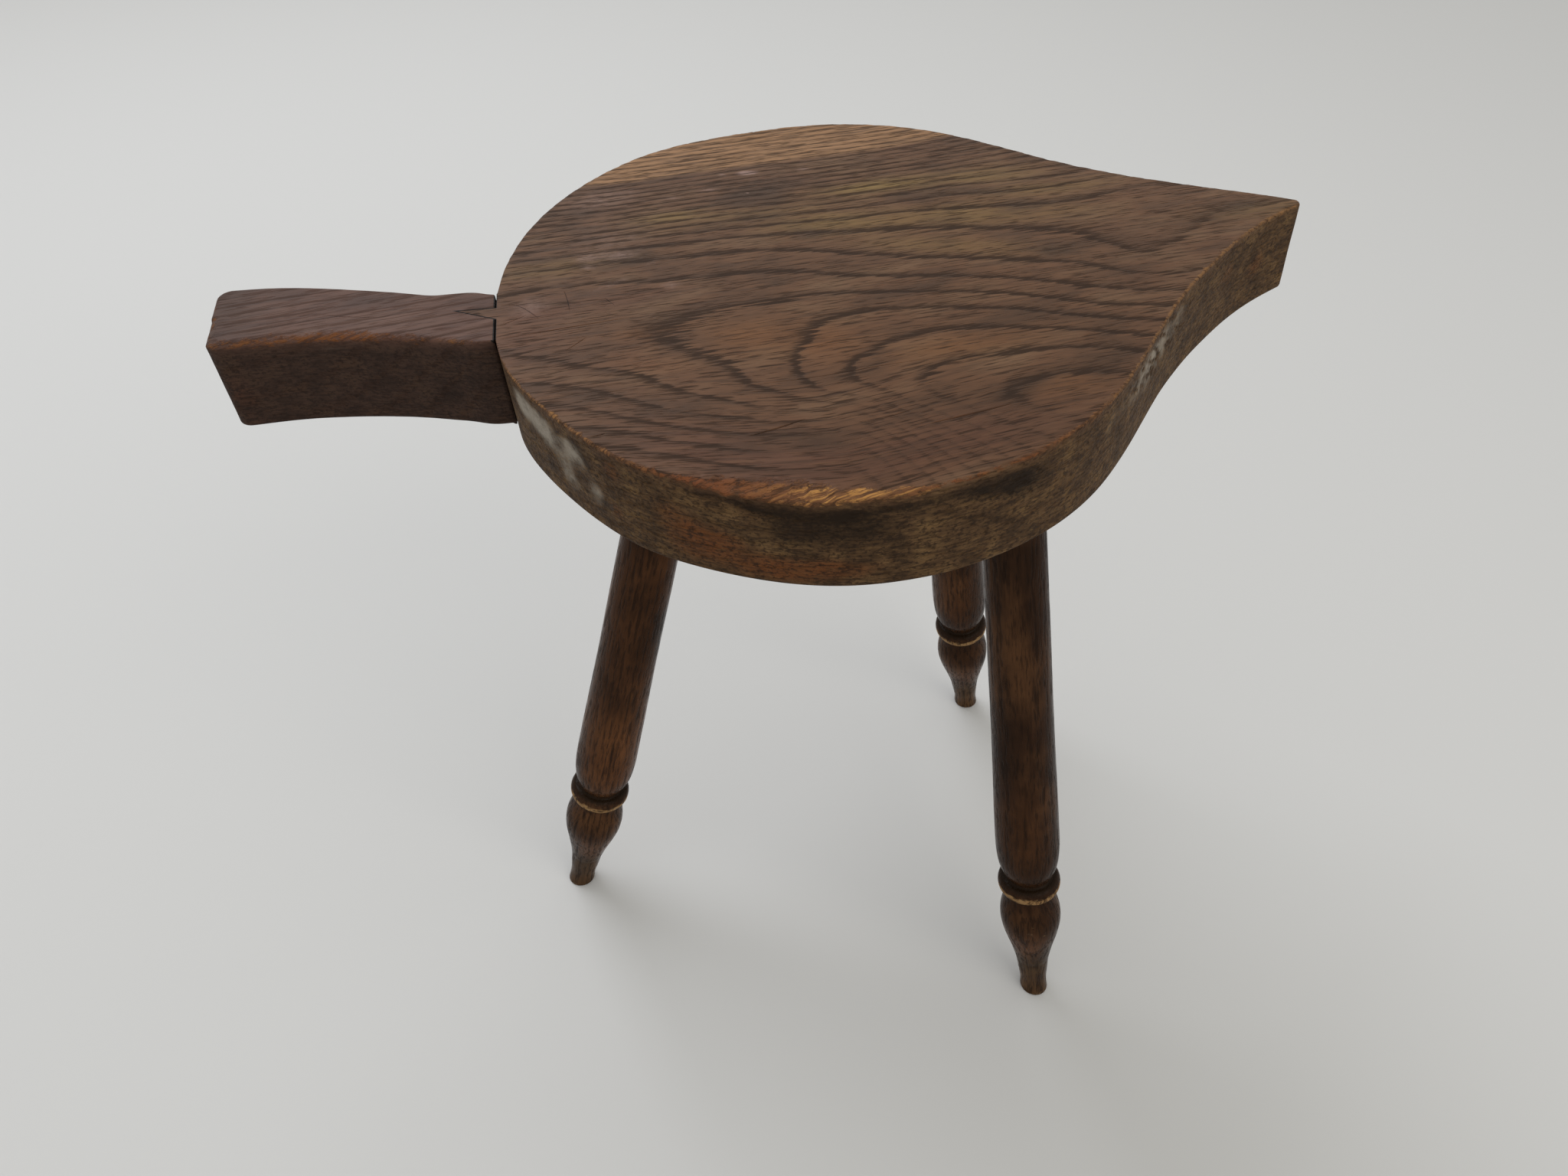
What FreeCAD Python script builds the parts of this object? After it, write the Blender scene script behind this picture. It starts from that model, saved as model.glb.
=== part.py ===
import FreeCAD, Part
import math
import os

os.makedirs("parts", exist_ok=True)
V = FreeCAD.Vector

# A three-legged stool whose seat is a leaf cut from one thick oak plank.
# The leaf's stalk is a second block, let onto a pointed tongue of the plank and glued.
# Three turned legs stand in blind mortises, each bored at its own slant.
# All lengths are in millimetres and all angles in degrees.

# How the stool stands: +Z is up, and +X runs from the stalk towards the leaf's tip
seat_height = 413.7
seat_rise_angle = 4.15
leaf_heading = 10.05

# The seat plank: a leaf, wide behind its stalk and drawn out to a tip
seat_thickness = 39.5
leaf_length = 339.5
near_half_width = 147.4
far_half_width = 149.3
tip_radius = 3.0
seat_top_round = 2.2
seat_bottom_round = 1.5

# Points of the two sides, from the stalk to the tip: share of length, share of half width
near_side_shares = [
    (0.006, 0.216), (0.061, 0.514), (0.1325, 0.742), (0.204, 0.868), (0.294, 0.966),
    (0.394, 0.999), (0.494, 0.958), (0.583, 0.855), (0.673, 0.655), (0.757, 0.423),
    (0.851, 0.2165), (0.942, 0.067),
]
far_side_shares = [
    (0.0097, 0.285), (0.068, 0.618), (0.15, 0.835), (0.242, 0.959), (0.325, 0.993),
    (0.413, 0.999), (0.49, 0.974), (0.572, 0.891), (0.662, 0.717), (0.758, 0.453),
    (0.861, 0.241), (0.952, 0.086),
]

# The stalk: waisted by the seat, swept to one side, and wider at its free end
stem_length = 117.5
stem_sweep = 33.0
stem_end_width = 47.6
stem_end_skew = 2.4
joint_width = 36.6
stem_end_corner_radius = 6.0
stem_arris_round = 2.2

# Stations along the stalk: share of length, share of sweep, share of end width
stem_shares = [
    (0.083, 0.094, 0.845), (0.156, 0.179, 0.79), (0.219, 0.241, 0.746), (0.304, 0.367, 0.752),
    (0.517, 0.648, 0.813), (0.763, 0.888, 0.918),
]

# The stalk joint: a pointed tongue of the plank between two open saw kerfs
tongue_length = 16.2
tongue_width = 9.0
tongue_root_offset = 2.3
tongue_point_offset = 9.0
kerf_width = 0.8
glue_line = 0.1

# Legs: place in the leaf, then the slant and the compass heading of the foot
leg_settings = {
    "leg_by_stem": {"entry_shares": (0.2044, -0.0432), "splay": 12.85, "heading": 184.7},
    "leg_front": {"entry_shares": (0.5803, -0.3404), "splay": 12.4, "heading": -42.7},
    "leg_back": {"entry_shares": (0.5878, 0.4347), "splay": 12.05, "heading": 39.6},
}

# The turned shape of every leg, measured along its axis from the floor
sole_radius = 7.8
sole_bevel = 0.9
ankle_radius = 7.5
ankle_height = 9.0
vase_radius = 16.5
vase_height = 66.0
lower_neck_radius = 13.4
lower_neck_height = 86.0
bead_radius = 16.7
bead_height = 93.4
bead_thickness = 10.4
upper_neck_radius = 12.8
upper_neck_length = 1.4
bullet_radius = 16.8
bullet_length = 27.0
tenon_radius = 12.5
tenon_reveal = 5.0
mortise_depth = 27.0
mortise_end_room = 1.0
tenon_chamfer = 1.5

# Rise of the vase between ankle and belly: share of the climb, share of the swell
vase_rise_shares = [(0.3, 0.178), (0.47, 0.355), (0.65, 0.61), (0.83, 0.89)]
# Swell of the bullet between neck and shaft: share of its length, share of the swell
bullet_swell_shares = [(0.09, 0.42), (0.25, 0.72), (0.5, 0.92)]
# Short straight cuts that make up each turned curve
vase_cut_count = 7
bead_cut_count = 6
bullet_cut_count = 3

# How far a cutter runs past the wood, and the number of facets in an eased arris
cut_overrun = 12.0
round_step_count = 2


def leaf_point(along, out):
    """A point in the plane of the seat: along the midrib and out from it."""
    return V(along, out, 0)


def run_edge(points):
    """One stretch of an outline: two points make a line, three an arc, more a smooth curve."""
    if len(points) == 2:
        return Part.makeLine(points[0], points[1])
    if len(points) == 3:
        return Part.Arc(points[0], points[1], points[2]).toShape()
    curve = Part.BSplineCurve()
    curve.interpolate(points)
    return curve.toShape()


def chain_edges(runs):
    """The stretches of an outline, one after the other, and the straight lines of its last."""
    edges = [run_edge(run) for run in runs[:-1]]
    return edges + [run_edge(line) for line in zip(runs[-1], runs[-1][1:])]


def inward(edge, point):
    """The level direction into the board at a point of an outline that runs anticlockwise."""
    along = edge.tangentAt(edge.Curve.parameter(point))
    return V(-along.y, along.x, 0)


def inset_runs(runs, amount):
    """The same outline moved inwards, except along its last run, the stalk joint."""
    pushes = {}
    for run in runs[:-1]:
        edge = run_edge(run)
        for point in run:
            push = pushes.get(tuple(point), V(0, 0, 0))
            pushes[tuple(point)] = push + inward(edge, point)
    for point in runs[-1]:
        pushes[tuple(point)] = V(0, 0, 0)
    moved = []
    for run in runs:
        moved.append([point + unit(pushes[tuple(point)]) * amount for point in run])
    return moved


def unit(direction):
    """The direction with length one, or nothing if it has none."""
    return direction.normalize() if direction.Length else direction


def plank(runs, top_round, bottom_round):
    """A board sawn square along an outline, with both its arrises rounded over."""
    stations = []
    for step in range(round_step_count + 1):
        turn = math.pi / 2 * step / round_step_count
        stations.append((-top_round * (1 - math.cos(turn)), top_round * (1 - math.sin(turn))))
    for step in range(round_step_count, -1, -1):
        turn = math.pi / 2 * step / round_step_count
        depth = bottom_round * (1 - math.cos(turn)) - seat_thickness
        stations.append((depth, bottom_round * (1 - math.sin(turn))))
    sections = []
    for height, inset in stations:
        section = Part.Wire(chain_edges(inset_runs(runs, inset)))
        section.translate(V(0, 0, height))
        sections.append(section)
    return Part.makeLoft(sections, True, True)


def arc_corner(before, corner, after, radius):
    """Start, middle and end of the arc that rounds a corner between two straight lines."""
    back = (before - corner).normalize()
    onward = (after - corner).normalize()
    half_angle = back.getAngle(onward) / 2
    centre = corner + (back + onward).normalize() * (radius / math.sin(half_angle))
    start = corner + back * (radius / math.tan(half_angle))
    end = corner + onward * (radius / math.tan(half_angle))
    return start, centre + (corner - centre).normalize() * radius, end


def joint_line(kerf, room):
    """The stalk joint from its far to its near end, round a tongue with some glue room."""
    half = joint_width / 2
    far_arm, far_root = tongue_side(1, kerf, room)
    near_arm, near_root = tongue_side(-1, kerf, room)
    point_room = room / math.sin(far_arm.getAngle(near_arm) / 2)
    point = leaf_point(-tongue_length, tongue_point_offset)
    point += (far_arm + near_arm).normalize() * point_room
    return [leaf_point(-kerf, half), far_root, point, near_root, leaf_point(-kerf, -half)]


def tongue_side(side, kerf, room):
    """The direction of one side of the tongue, and where that side meets the kerf."""
    root = leaf_point(0, tongue_root_offset + side * tongue_width / 2)
    arm = (leaf_point(-tongue_length, tongue_point_offset) - root).normalize()
    root += V(arm.y, -arm.x, 0) * (side * room)
    return arm, root + arm * ((-kerf - root.x) / arm.x)


def leaf_side(shares, half_width, side):
    """The hand-chosen points of one side of the leaf, from the stalk towards the tip."""
    return [leaf_point(along * leaf_length, side * out * half_width) for along, out in shares]


def leaf_runs():
    """The leaf's outline, anticlockwise from the near end of the stalk joint."""
    joint = joint_line(0, 0)
    near_side = leaf_side(near_side_shares, near_half_width, -1)
    far_side = leaf_side(far_side_shares, far_half_width, 1)
    tip = leaf_point(leaf_length, 0)
    tip_start, tip_middle, tip_end = arc_corner(near_side[-1], tip, far_side[-1], tip_radius)
    near_run = [joint[-1]] + near_side + [tip_start]
    far_run = [tip_end] + far_side[::-1] + [joint[0]]
    return [near_run, [tip_start, tip_middle, tip_end], far_run, joint]


def stem_runs():
    """The stalk's outline, anticlockwise from the far end of the joint."""
    joint = joint_line(kerf_width, glue_line)
    near_side = []
    far_side = []
    for along_share, sweep_share, width_share in stem_shares:
        middle = leaf_point(-along_share * stem_length, sweep_share * stem_sweep)
        half = leaf_point(0, width_share * stem_end_width / 2)
        near_side.append(middle - half)
        far_side.append(middle + half)
    end_middle = leaf_point(-stem_length, stem_sweep)
    end_half = leaf_point(-stem_end_skew / 2, stem_end_width / 2)
    near_end = end_middle - end_half
    far_end = end_middle + end_half
    far_arc = arc_corner(far_side[-1], far_end, near_end, stem_end_corner_radius)
    near_arc = arc_corner(far_end, near_end, near_side[-1], stem_end_corner_radius)
    far_run = [joint[0]] + far_side + [far_arc[0]]
    near_run = [near_arc[-1]] + near_side[::-1] + [joint[-1]]
    stem_end = [far_arc[-1], near_arc[0]]
    return [far_run, far_arc, stem_end, near_arc, near_run, joint[::-1]]


def leg_axis(setting):
    """Where a leg's axis enters the seat, its direction up, and its run to the floor."""
    along_share, out_share = setting["entry_shares"]
    half_width = far_half_width if out_share > 0 else near_half_width
    entry_in_leaf = V(along_share * leaf_length, out_share * half_width, -seat_thickness)
    entry = seat_placement().multVec(entry_in_leaf)
    splay = math.radians(setting["splay"])
    heading = math.radians(setting["heading"])
    outward = V(math.cos(heading), math.sin(heading), 0)
    upward = V(0, 0, math.cos(splay)) - outward * math.sin(splay)
    run = entry.z / math.cos(splay)
    return entry, upward, run


def seat_placement():
    """The seat's own plane, turned to its heading, tipped up at the tip and lifted."""
    turn = FreeCAD.Rotation(V(0, 0, 1), leaf_heading)
    tip_up = FreeCAD.Rotation(V(0, 1, 0), -seat_rise_angle)
    pose = tip_up.multiply(turn)
    leaf_middle = pose.multVec(leaf_point(leaf_length / 2, 0))
    return FreeCAD.Placement(V(0, 0, seat_height) - leaf_middle, pose)


def mortise(setting):
    """The blind hole for one leg, bored along the leg's own axis."""
    entry, upward, run = leg_axis(setting)
    start = entry - upward * cut_overrun
    length = cut_overrun + mortise_depth + mortise_end_room
    return Part.makeCylinder(tenon_radius + glue_line, length, start, upward)


def make_seat():
    """The leaf-shaped plank with its tongue, its eased arrises and its three mortises."""
    board = plank(leaf_runs(), seat_top_round, seat_bottom_round)
    board.Placement = seat_placement()
    return board.cut([mortise(setting) for setting in leg_settings.values()])


def make_stem():
    """The swept stalk, notched for the tongue and rounded at its free end."""
    block = plank(stem_runs(), stem_arris_round, stem_arris_round)
    block.Placement = seat_placement()
    return block


def turned_run(points, cut_count):
    """A turned curve through hand-chosen points, made of short straight cuts."""
    return run_edge(points).discretize(Number=cut_count + 1)


def leg_profile(run):
    """Half the outline of a leg, in the plane of its axis, from the foot up."""
    bead_low = bead_height - bead_thickness / 2
    bead_high = bead_height + bead_thickness / 2
    bullet_foot = bead_high + upper_neck_length
    bullet_top = bullet_foot + bullet_length
    tenon_foot = run - tenon_reveal
    tenon_top = run + mortise_depth
    climb = vase_height - ankle_height
    swell = vase_radius - ankle_radius
    vase = [V(sole_radius, 0, 0), V(ankle_radius, 0, ankle_height)]
    for climb_share, swell_share in vase_rise_shares:
        vase.append(V(ankle_radius + swell_share * swell, 0, ankle_height + climb_share * climb))
    vase += [V(vase_radius, 0, vase_height), V(lower_neck_radius, 0, lower_neck_height)]
    bead_foot = V(lower_neck_radius, 0, bead_low)
    bead = [bead_foot, V(bead_radius, 0, bead_height), V(upper_neck_radius, 0, bead_high)]
    bullet_swell = bullet_radius - upper_neck_radius
    bullet = [V(upper_neck_radius, 0, bullet_foot)]
    for length_share, swell_share in bullet_swell_shares:
        out = upper_neck_radius + swell_share * bullet_swell
        bullet.append(V(out, 0, bullet_foot + length_share * bullet_length))
    bullet.append(V(bullet_radius, 0, bullet_top))
    tenon = [V(tenon_radius, 0, tenon_foot), V(tenon_radius, 0, tenon_top - tenon_chamfer)]
    tenon_end = [V(tenon_radius - tenon_chamfer, 0, tenon_top), V(0, 0, tenon_top)]
    below = V(0, 0, -cut_overrun)
    profile = [below, V(sole_radius, 0, -cut_overrun)] + turned_run(vase, vase_cut_count)
    profile += turned_run(bead, bead_cut_count) + turned_run(bullet, bullet_cut_count) + tenon + tenon_end
    return Part.Wire(Part.makePolygon(profile + [below]))


def make_leg(setting):
    """One turned leg with its tenon, standing on a foot cut level with the floor."""
    entry, upward, run = leg_axis(setting)
    turned = Part.Face(leg_profile(run)).revolve(V(0, 0, 0), V(0, 0, 1), 360)
    foot = entry - upward * run
    turned.Placement = FreeCAD.Placement(foot, FreeCAD.Rotation(V(0, 0, 1), upward))
    side = 2 * cut_overrun + 2 * bead_radius
    below_floor = Part.makeBox(side, side, side, foot - V(side / 2, side / 2, side))
    leg = turned.cut(below_floor)
    rim = [edge for edge in leg.Edges if abs(edge.BoundBox.ZMax) < glue_line]
    return leg.makeChamfer(sole_bevel, rim)


def build():
    """Every piece of the stool, with the origin on the floor under its middle."""
    pieces = {"seat_plank": make_seat(), "stem_block": make_stem()}
    for name, setting in leg_settings.items():
        pieces[name] = make_leg(setting)
    around = Part.makeCompound(list(pieces.values())).optimalBoundingBox()
    to_middle = V(-around.Center.x, -around.Center.y, 0)
    for piece in pieces.values():
        piece.translate(to_middle)
    return pieces


for name, shape in build().items():
    shape.exportStep("parts/" + name + ".step")
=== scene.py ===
"""The look of a three-legged stool with a leaf-shaped oak seat, on a plain pale floor.

Shapes are worked out in millimetres and turned to metres where a mesh is made.
The seat's own frame runs along the leaf (u), across it (v) and up from its top (w).
"""

import math

import bpy
import numpy as np
from mathutils import Matrix, Vector, geometry, kdtree, noise


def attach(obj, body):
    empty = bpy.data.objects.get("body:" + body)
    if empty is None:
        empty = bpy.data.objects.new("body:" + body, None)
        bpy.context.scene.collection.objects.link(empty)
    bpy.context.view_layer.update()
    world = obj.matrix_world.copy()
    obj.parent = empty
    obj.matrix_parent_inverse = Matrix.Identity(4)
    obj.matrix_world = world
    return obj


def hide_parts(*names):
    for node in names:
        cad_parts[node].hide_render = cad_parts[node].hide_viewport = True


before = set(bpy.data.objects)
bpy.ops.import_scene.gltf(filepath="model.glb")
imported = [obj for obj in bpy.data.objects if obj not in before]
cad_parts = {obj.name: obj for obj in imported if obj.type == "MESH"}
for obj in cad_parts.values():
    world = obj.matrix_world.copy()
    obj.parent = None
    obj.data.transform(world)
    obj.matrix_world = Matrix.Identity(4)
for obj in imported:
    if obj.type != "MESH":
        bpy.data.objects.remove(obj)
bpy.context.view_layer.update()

MM = 0.001

# Where the seat lies: the middle of the stalk joint, the rise to the tip, the turn
SEAT_JOINT = (-104.427, -24.465, 401.604)
SEAT_RISE = 4.15
SEAT_HEADING = 10.05
SEAT_THICKNESS = 39.5
SEAT_POSE = (
    Matrix.Translation(SEAT_JOINT)
    @ Matrix.Rotation(math.radians(-SEAT_RISE), 4, "Y")
    @ Matrix.Rotation(math.radians(SEAT_HEADING), 4, "Z")
)

# The leaf: its length, and the points of its two sides from the stalk to the tip
LEAF_LENGTH = 339.5
NEAR_WIDTH = 147.4
FAR_WIDTH = 149.3
TIP_RADIUS = 3.0
NEAR_SIDE = [
    (0.006, 0.216), (0.061, 0.514), (0.1325, 0.742), (0.204, 0.868), (0.294, 0.966),
    (0.394, 0.999), (0.494, 0.958), (0.583, 0.855), (0.673, 0.655), (0.757, 0.423),
    (0.851, 0.2165), (0.942, 0.067),
]
FAR_SIDE = [
    (0.0097, 0.285), (0.068, 0.618), (0.15, 0.835), (0.242, 0.959), (0.325, 0.993),
    (0.413, 0.999), (0.49, 0.974), (0.572, 0.891), (0.662, 0.717), (0.758, 0.453),
    (0.861, 0.241), (0.952, 0.086),
]

# The stalk: stations along it as shares of its length, its sweep and its end width
STEM_LENGTH = 117.5
STEM_SWEEP = 33.0
STEM_END_WIDTH = 47.6
STEM_END_SKEW = 2.4
STEM_CORNER_RADIUS = 6.0
STEM_STATIONS = [
    (0.083, 0.094, 0.845), (0.156, 0.179, 0.79), (0.219, 0.241, 0.746), (0.304, 0.367, 0.752),
    (0.517, 0.648, 0.813), (0.763, 0.888, 0.918),
]

# The stalk joint: half its width, the pointed tongue, the saw kerf, how much narrower the
# kerf has become at the top and, besides, lower down, and the glue line
JOINT_HALF = 18.3
TONGUE_POINT = (-16.2, 9.0)
TONGUE_ROOTS = (6.8, -2.2)
KERF = 0.8
KERF_LESS = 0.2
KERF_LESS_BELOW = 0.38
GLUE = 0.1

# Wear of the top arris along each side: place along the leaf, width and depth of the
# eased strip, how bare it is, how orange and how pale
NEAR_ARRIS = [
    (0, 0.3, 0.3, 0.2, 0.1, 0.1), (3, 0.9, 0.9, 0.68, 0.1, 0.4), (23, 1.2, 1.3, 0.72, 0.15, 0.4),
    (43, 1.4, 1.5, 0.72, 0.4, 0.2), (56, 2.0, 1.6, 0.66, 0.8, 0.0), (64, 3.6, 2.2, 0.7, 0.9, 0.0),
    (74, 6.0, 2.8, 0.75, 0.8, 0.0), (82, 7.6, 3.4, 0.78, 0.7, 0.1),
    (92, 8.6, 4.0, 0.82, 0.55, 0.3), (103, 7.0, 3.8, 0.9, 0.4, 1.0),
    (119, 4.0, 2.6, 0.88, 0.3, 1.0), (134, 2.4, 1.8, 0.8, 0.5, 0.8),
    (144, 1.6, 1.4, 0.6, 0.9, 0.1), (173, 1.6, 1.4, 0.6, 0.8, 0.1),
    (198, 1.4, 1.2, 0.62, 0.4, 0.2), (225, 1.3, 1.1, 0.75, 0.0, 0.1),
    (339, 1.2, 1.1, 0.78, 0.0, 0.2),
]
FAR_ARRIS = [
    (0, 0.3, 0.3, 0.1, 0.2, 0.0), (4, 1.6, 1.5, 0.35, 0.3, 0.0), (160, 2.0, 1.8, 0.4, 0.4, 0.1),
    (300, 1.6, 1.5, 0.45, 0.3, 0.3), (339, 1.2, 1.2, 0.6, 0.3, 0.6),
]
STEM_NEAR_ARRIS = [
    (-118, 4.0, 2.4, 0.55, 0.5, 0.0), (-100, 4.4, 2.6, 0.62, 0.7, 0.0),
    (-60, 4.4, 2.6, 0.72, 0.9, 0.0), (-38, 3.4, 2.4, 0.55, 0.8, 0.0),
    (-14, 2.2, 1.8, 0.4, 0.5, 0.1), (-3, 1.0, 1.0, 0.3, 0.4, 0.0), (0, 0.2, 0.2, 0.1, 0.4, 0.0),
]
STEM_FAR_ARRIS = [
    (-118, 2.2, 2.0, 0.4, 0.5, 0.0), (-60, 1.6, 1.6, 0.25, 0.4, 0.0),
    (-4, 1.2, 1.2, 0.2, 0.4, 0.0), (0, 0.2, 0.2, 0.1, 0.4, 0.0),
]
GLUED_ARRIS = (0.3, 0.15, 0.0, 0.2, 0.0)
BOTTOM_EASE = 1.5
GLUED_EASE = 0.15
ARRIS_STEPS = 7

# Steps in millimetres: along an outline, and over the top and down the wall of each board.
# The unseen underside has steps that are this many times wider.
OUTLINE_STEP = 1.25
SEAT_STEPS = (1.5, 1.7)
STEM_STEPS = (1.6, 1.9)
UNDERSIDE_COARSER = 1.6

# The tree's growth rings on the seat's top: points along each ring, counted from the
# middle of the arched figure out to the pale sapwood at the far side
GROWTH_RINGS = {
    -2: [(198, -96), (185, -97), (178, -108), (218, -100)],
    -1: [(182, -81), (158, -84), (150, -92), (154, -99), (198, -81), (223, -87)],
    0: [(156, -58), (181, -59), (194, -63), (215, -70), (144, -66), (129, -73), (128, -80),
        (130, -87), (144, -102)],
    1: [(122, -36), (147, -35), (173, -42), (196, -50), (217, -61), (225, -66), (120, -49),
        (111, -63), (110, -75), (116, -87)],
    2: [(68, -26), (82, -19), (113, -20), (148, -24), (175, -31), (196, -39), (223, -54),
        (67, -40), (74, -50), (85, -56), (91, -65), (89, -75), (106, -86), (115, -93)],
    3: [(1, 16), (30, 15), (56, 12), (82, 8), (113, 5), (134, -4), (154, -12), (186, -21),
        (222, -38), (1, -26), (21, -39), (40, -52), (54, -57), (66, -73), (80, -80), (98, -91)],
    4: [(4, 32), (51, 30), (76, 27), (106, 24), (132, 17), (154, 6), (177, -4), (198, -12),
        (241, -28), (12, -52), (24, -57), (45, -70), (63, -84), (123, -102)],
    5: [(6, 44), (51, 43), (97, 39), (139, 32), (169, 27), (196, 20), (223, 11), (242, 0),
        (254, -17), (258, -26), (28, -71), (48, -85), (73, -98)],
    6: [(8, 51), (73, 49), (123, 45), (168, 41), (196, 36), (227, 31), (264, 32), (284, 34),
        (36, -88), (58, -100), (83, -114), (123, -118)],
    7: [(46, -100), (73, -115), (98, -128)],
    8: [(48, 60), (123, 60), (198, 60), (253, 55), (73, -128), (110, -141)],
    12: [(48, 80), (123, 80), (198, 80), (233, 84)],
    16: [(48, 100), (123, 100), (198, 100), (218, 104)],
    20: [(48, 119), (123, 119), (198, 119)],
    24: [(58, 139), (123, 139), (198, 139)],
}
SAPWOOD_RING = 18.0
EARLY_WOOD_DIP = 0.09

# Growth rings in millimetres: their width in the seat, their width and depth in the stalk
# with the lean of its fibres, and in the legs their spacing, how wide their dark lines are
# drawn, and the height in which the fibres cross one ring
RING_WIDTH = 4.9
STEM_RING_WIDTH = 7.5
STEM_RING_DEPTH = 14
STEM_LEAN = 0.06
LEG_RING_STEP = 3.2
LEG_RING_WIDTH = 4.5
LEG_RING_RISE = 260

# Open checks and knife scratches in the top: half width, depth, then their points
CHECKS = [
    (0.26, 0.8, [(1.1, -18.16), (18.3, -17.4), (36.3, -16.5), (54.3, -16)]),
    (0.42, 1.8, [(147.3, -113.8), (161.3, -112.2), (177, -110)]),
    (0.36, 1.5, [(86.3, -105.5), (96.3, -103.4), (107, -100.5)]),
    (0.16, 0.6, [(127, -108), (136.3, -106.2), (145, -103.8)]),
    (0.26, 1.0, [(33.6, -92.44), (35.8, -92), (39.8, -91)]),
    (0.18, 0.5, [(0.95, -8.37), (6, -5.8), (12.5, -2.5)]),
    (0.18, 0.5, [(0.5, 9), (8.8, 5.7), (12, 1.8), (17.3, -7.2)]),
    (0.15, 0.4, [(27.5, 13.2), (28.7, 4), (29.3, -4.5)]),
    (0.15, 0.4, [(43.3, 2.8), (45.3, -1.2), (47.5, -5.5)]),
    (0.18, 0.5, [(26.5, -33.8), (30.3, -30.5), (35, -26)]),
    (0.15, 0.4, [(90, -75), (118, -76.2), (143, -75.3), (163, -76)]),
]
STEM_SCRATCH = (0.14, 0.4, [(-72, 22), (-58, 16), (-44, 12)])

# The flat left beside a check, so that its shading stays narrow; how near to a rim or a
# check a sheet has points of its own, as a share of their spacing; and the gap that counts
# as none between two points
GROOVE_SHOULDER = 0.3
SHEET_CLEAR = 0.55
WELD = 1e-5

# Stained places on the top: centre, reach along and across, turn, then how far the
# wood goes to olive, to orange, to black and to purple
STAINS = [
    (168, 68, 26, 7, -4, 0.9, 0.1, 0.0, 0.0), (78, 66, 16, 5, 0, 0.7, 0.1, 0.0, 0.0),
    (140, 40, 20, 9, -8, 0.9, 0.2, 0.0, 0.0), (198, 30, 44, 9, -10, 0.8, 0.3, 0.0, 0.0),
    (238, 44, 28, 6, -4, 0.6, 0.2, 0.0, 0.0), (28, 34, 26, 7, 0, 0.5, 0.1, 0.0, 0.0),
    (108, 58, 40, 7, 0, 0.4, 0.0, 0.0, 0.0), (188, 5, 34, 7, -22, 0.5, 0.2, 0.0, 0.0),
    (58, -30, 14, 7, 0, 0.0, 1.0, 0.0, 0.0), (96, -42, 20, 12, -8, 0.1, 1.0, 0.0, 0.0),
    (123, -55, 16, 14, 0, 0.0, 0.9, 0.0, 0.0), (170, -70, 26, 9, 0, 0.1, 0.8, 0.0, 0.0),
    (198, -104, 16, 8, 0, 0.1, 0.8, 0.0, 0.0), (58, -52, 20, 8, -28, 0.0, 0.6, 0.0, 0.2),
    (70, -37, 7, 5, 20, 0.0, 0.0, 1.0, 0.0), (244, -38, 16, 12, 0, 0.0, 0.0, 0.3, 0.1),
    (260, -14, 14, 12, 0, 0.0, 0.0, 0.4, 0.2), (36, -92, 14, 7, -28, 0.0, 0.0, 0.5, 0.0),
    (73, -110, 44, 16, -28, 0.0, 0.0, 0.1, 1.0), (10, -20, 18, 22, 0, 0.0, 0.1, 0.0, 0.8),
    (128, -128, 44, 10, 4, 0.0, 0.2, 0.1, 0.8), (58, 0, 26, 8, 0, 0.0, 0.0, 0.1, 0.6),
    (18, 0, 16, 10, 0, 0.0, 0.0, 0.0, 0.7), (88, 100, 34, 9, 0, 0.0, 0.0, 0.15, 0.3),
    (168, -120, 48, 17, 6, 0.0, 0.0, 0.35, 0.6), (318, -1, 22, 7, 0, 0.5, 0.1, 0.0, 0.0),
    (215, 66, 30, 9, -5, 0.6, 0.1, 0.0, 0.0),
]

# Pale scuffs on the top, and broad pale patches of painted sheen: centre, reach along and across,
# turn, strength
SCUFFS_AND_SHEEN = [
    (116, 101, 6.5, 3.2, -8, 0.95), (104, 103, 3, 1.8, 0, 0.6), (113, 80, 1.3, 0.9, 0, 1.0),
    (97, 88, 8, 2.5, -5, 0.5), (142, 97, 6, 2.5, -5, 0.62), (80, 85, 7, 2.5, -5, 0.3),
    (52, 36, 7, 4, 0, 0.22), (38, 38.5, 6, 4, 0, 0.2), (71, 5, 8, 6, 0, 0.45),
    # The broad rows at (48, 52), (48, 96) and (13, 2) are painted sheen on the far left and by the
    # joint
    (41, 9, 9, 5, 0, 0.3), (48, 52, 46, 36, 0, 0.45), (48, 96, 36, 15, 0, 0.42),
    (13, 2, 15, 16, 0, 0.46), (50, 14, 6, 3, 20, 0.35), (38, 30, 5, 2.5, -30, 0.22),
    (64, 26, 7, 2.2, 40, 0.22),
]
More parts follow.
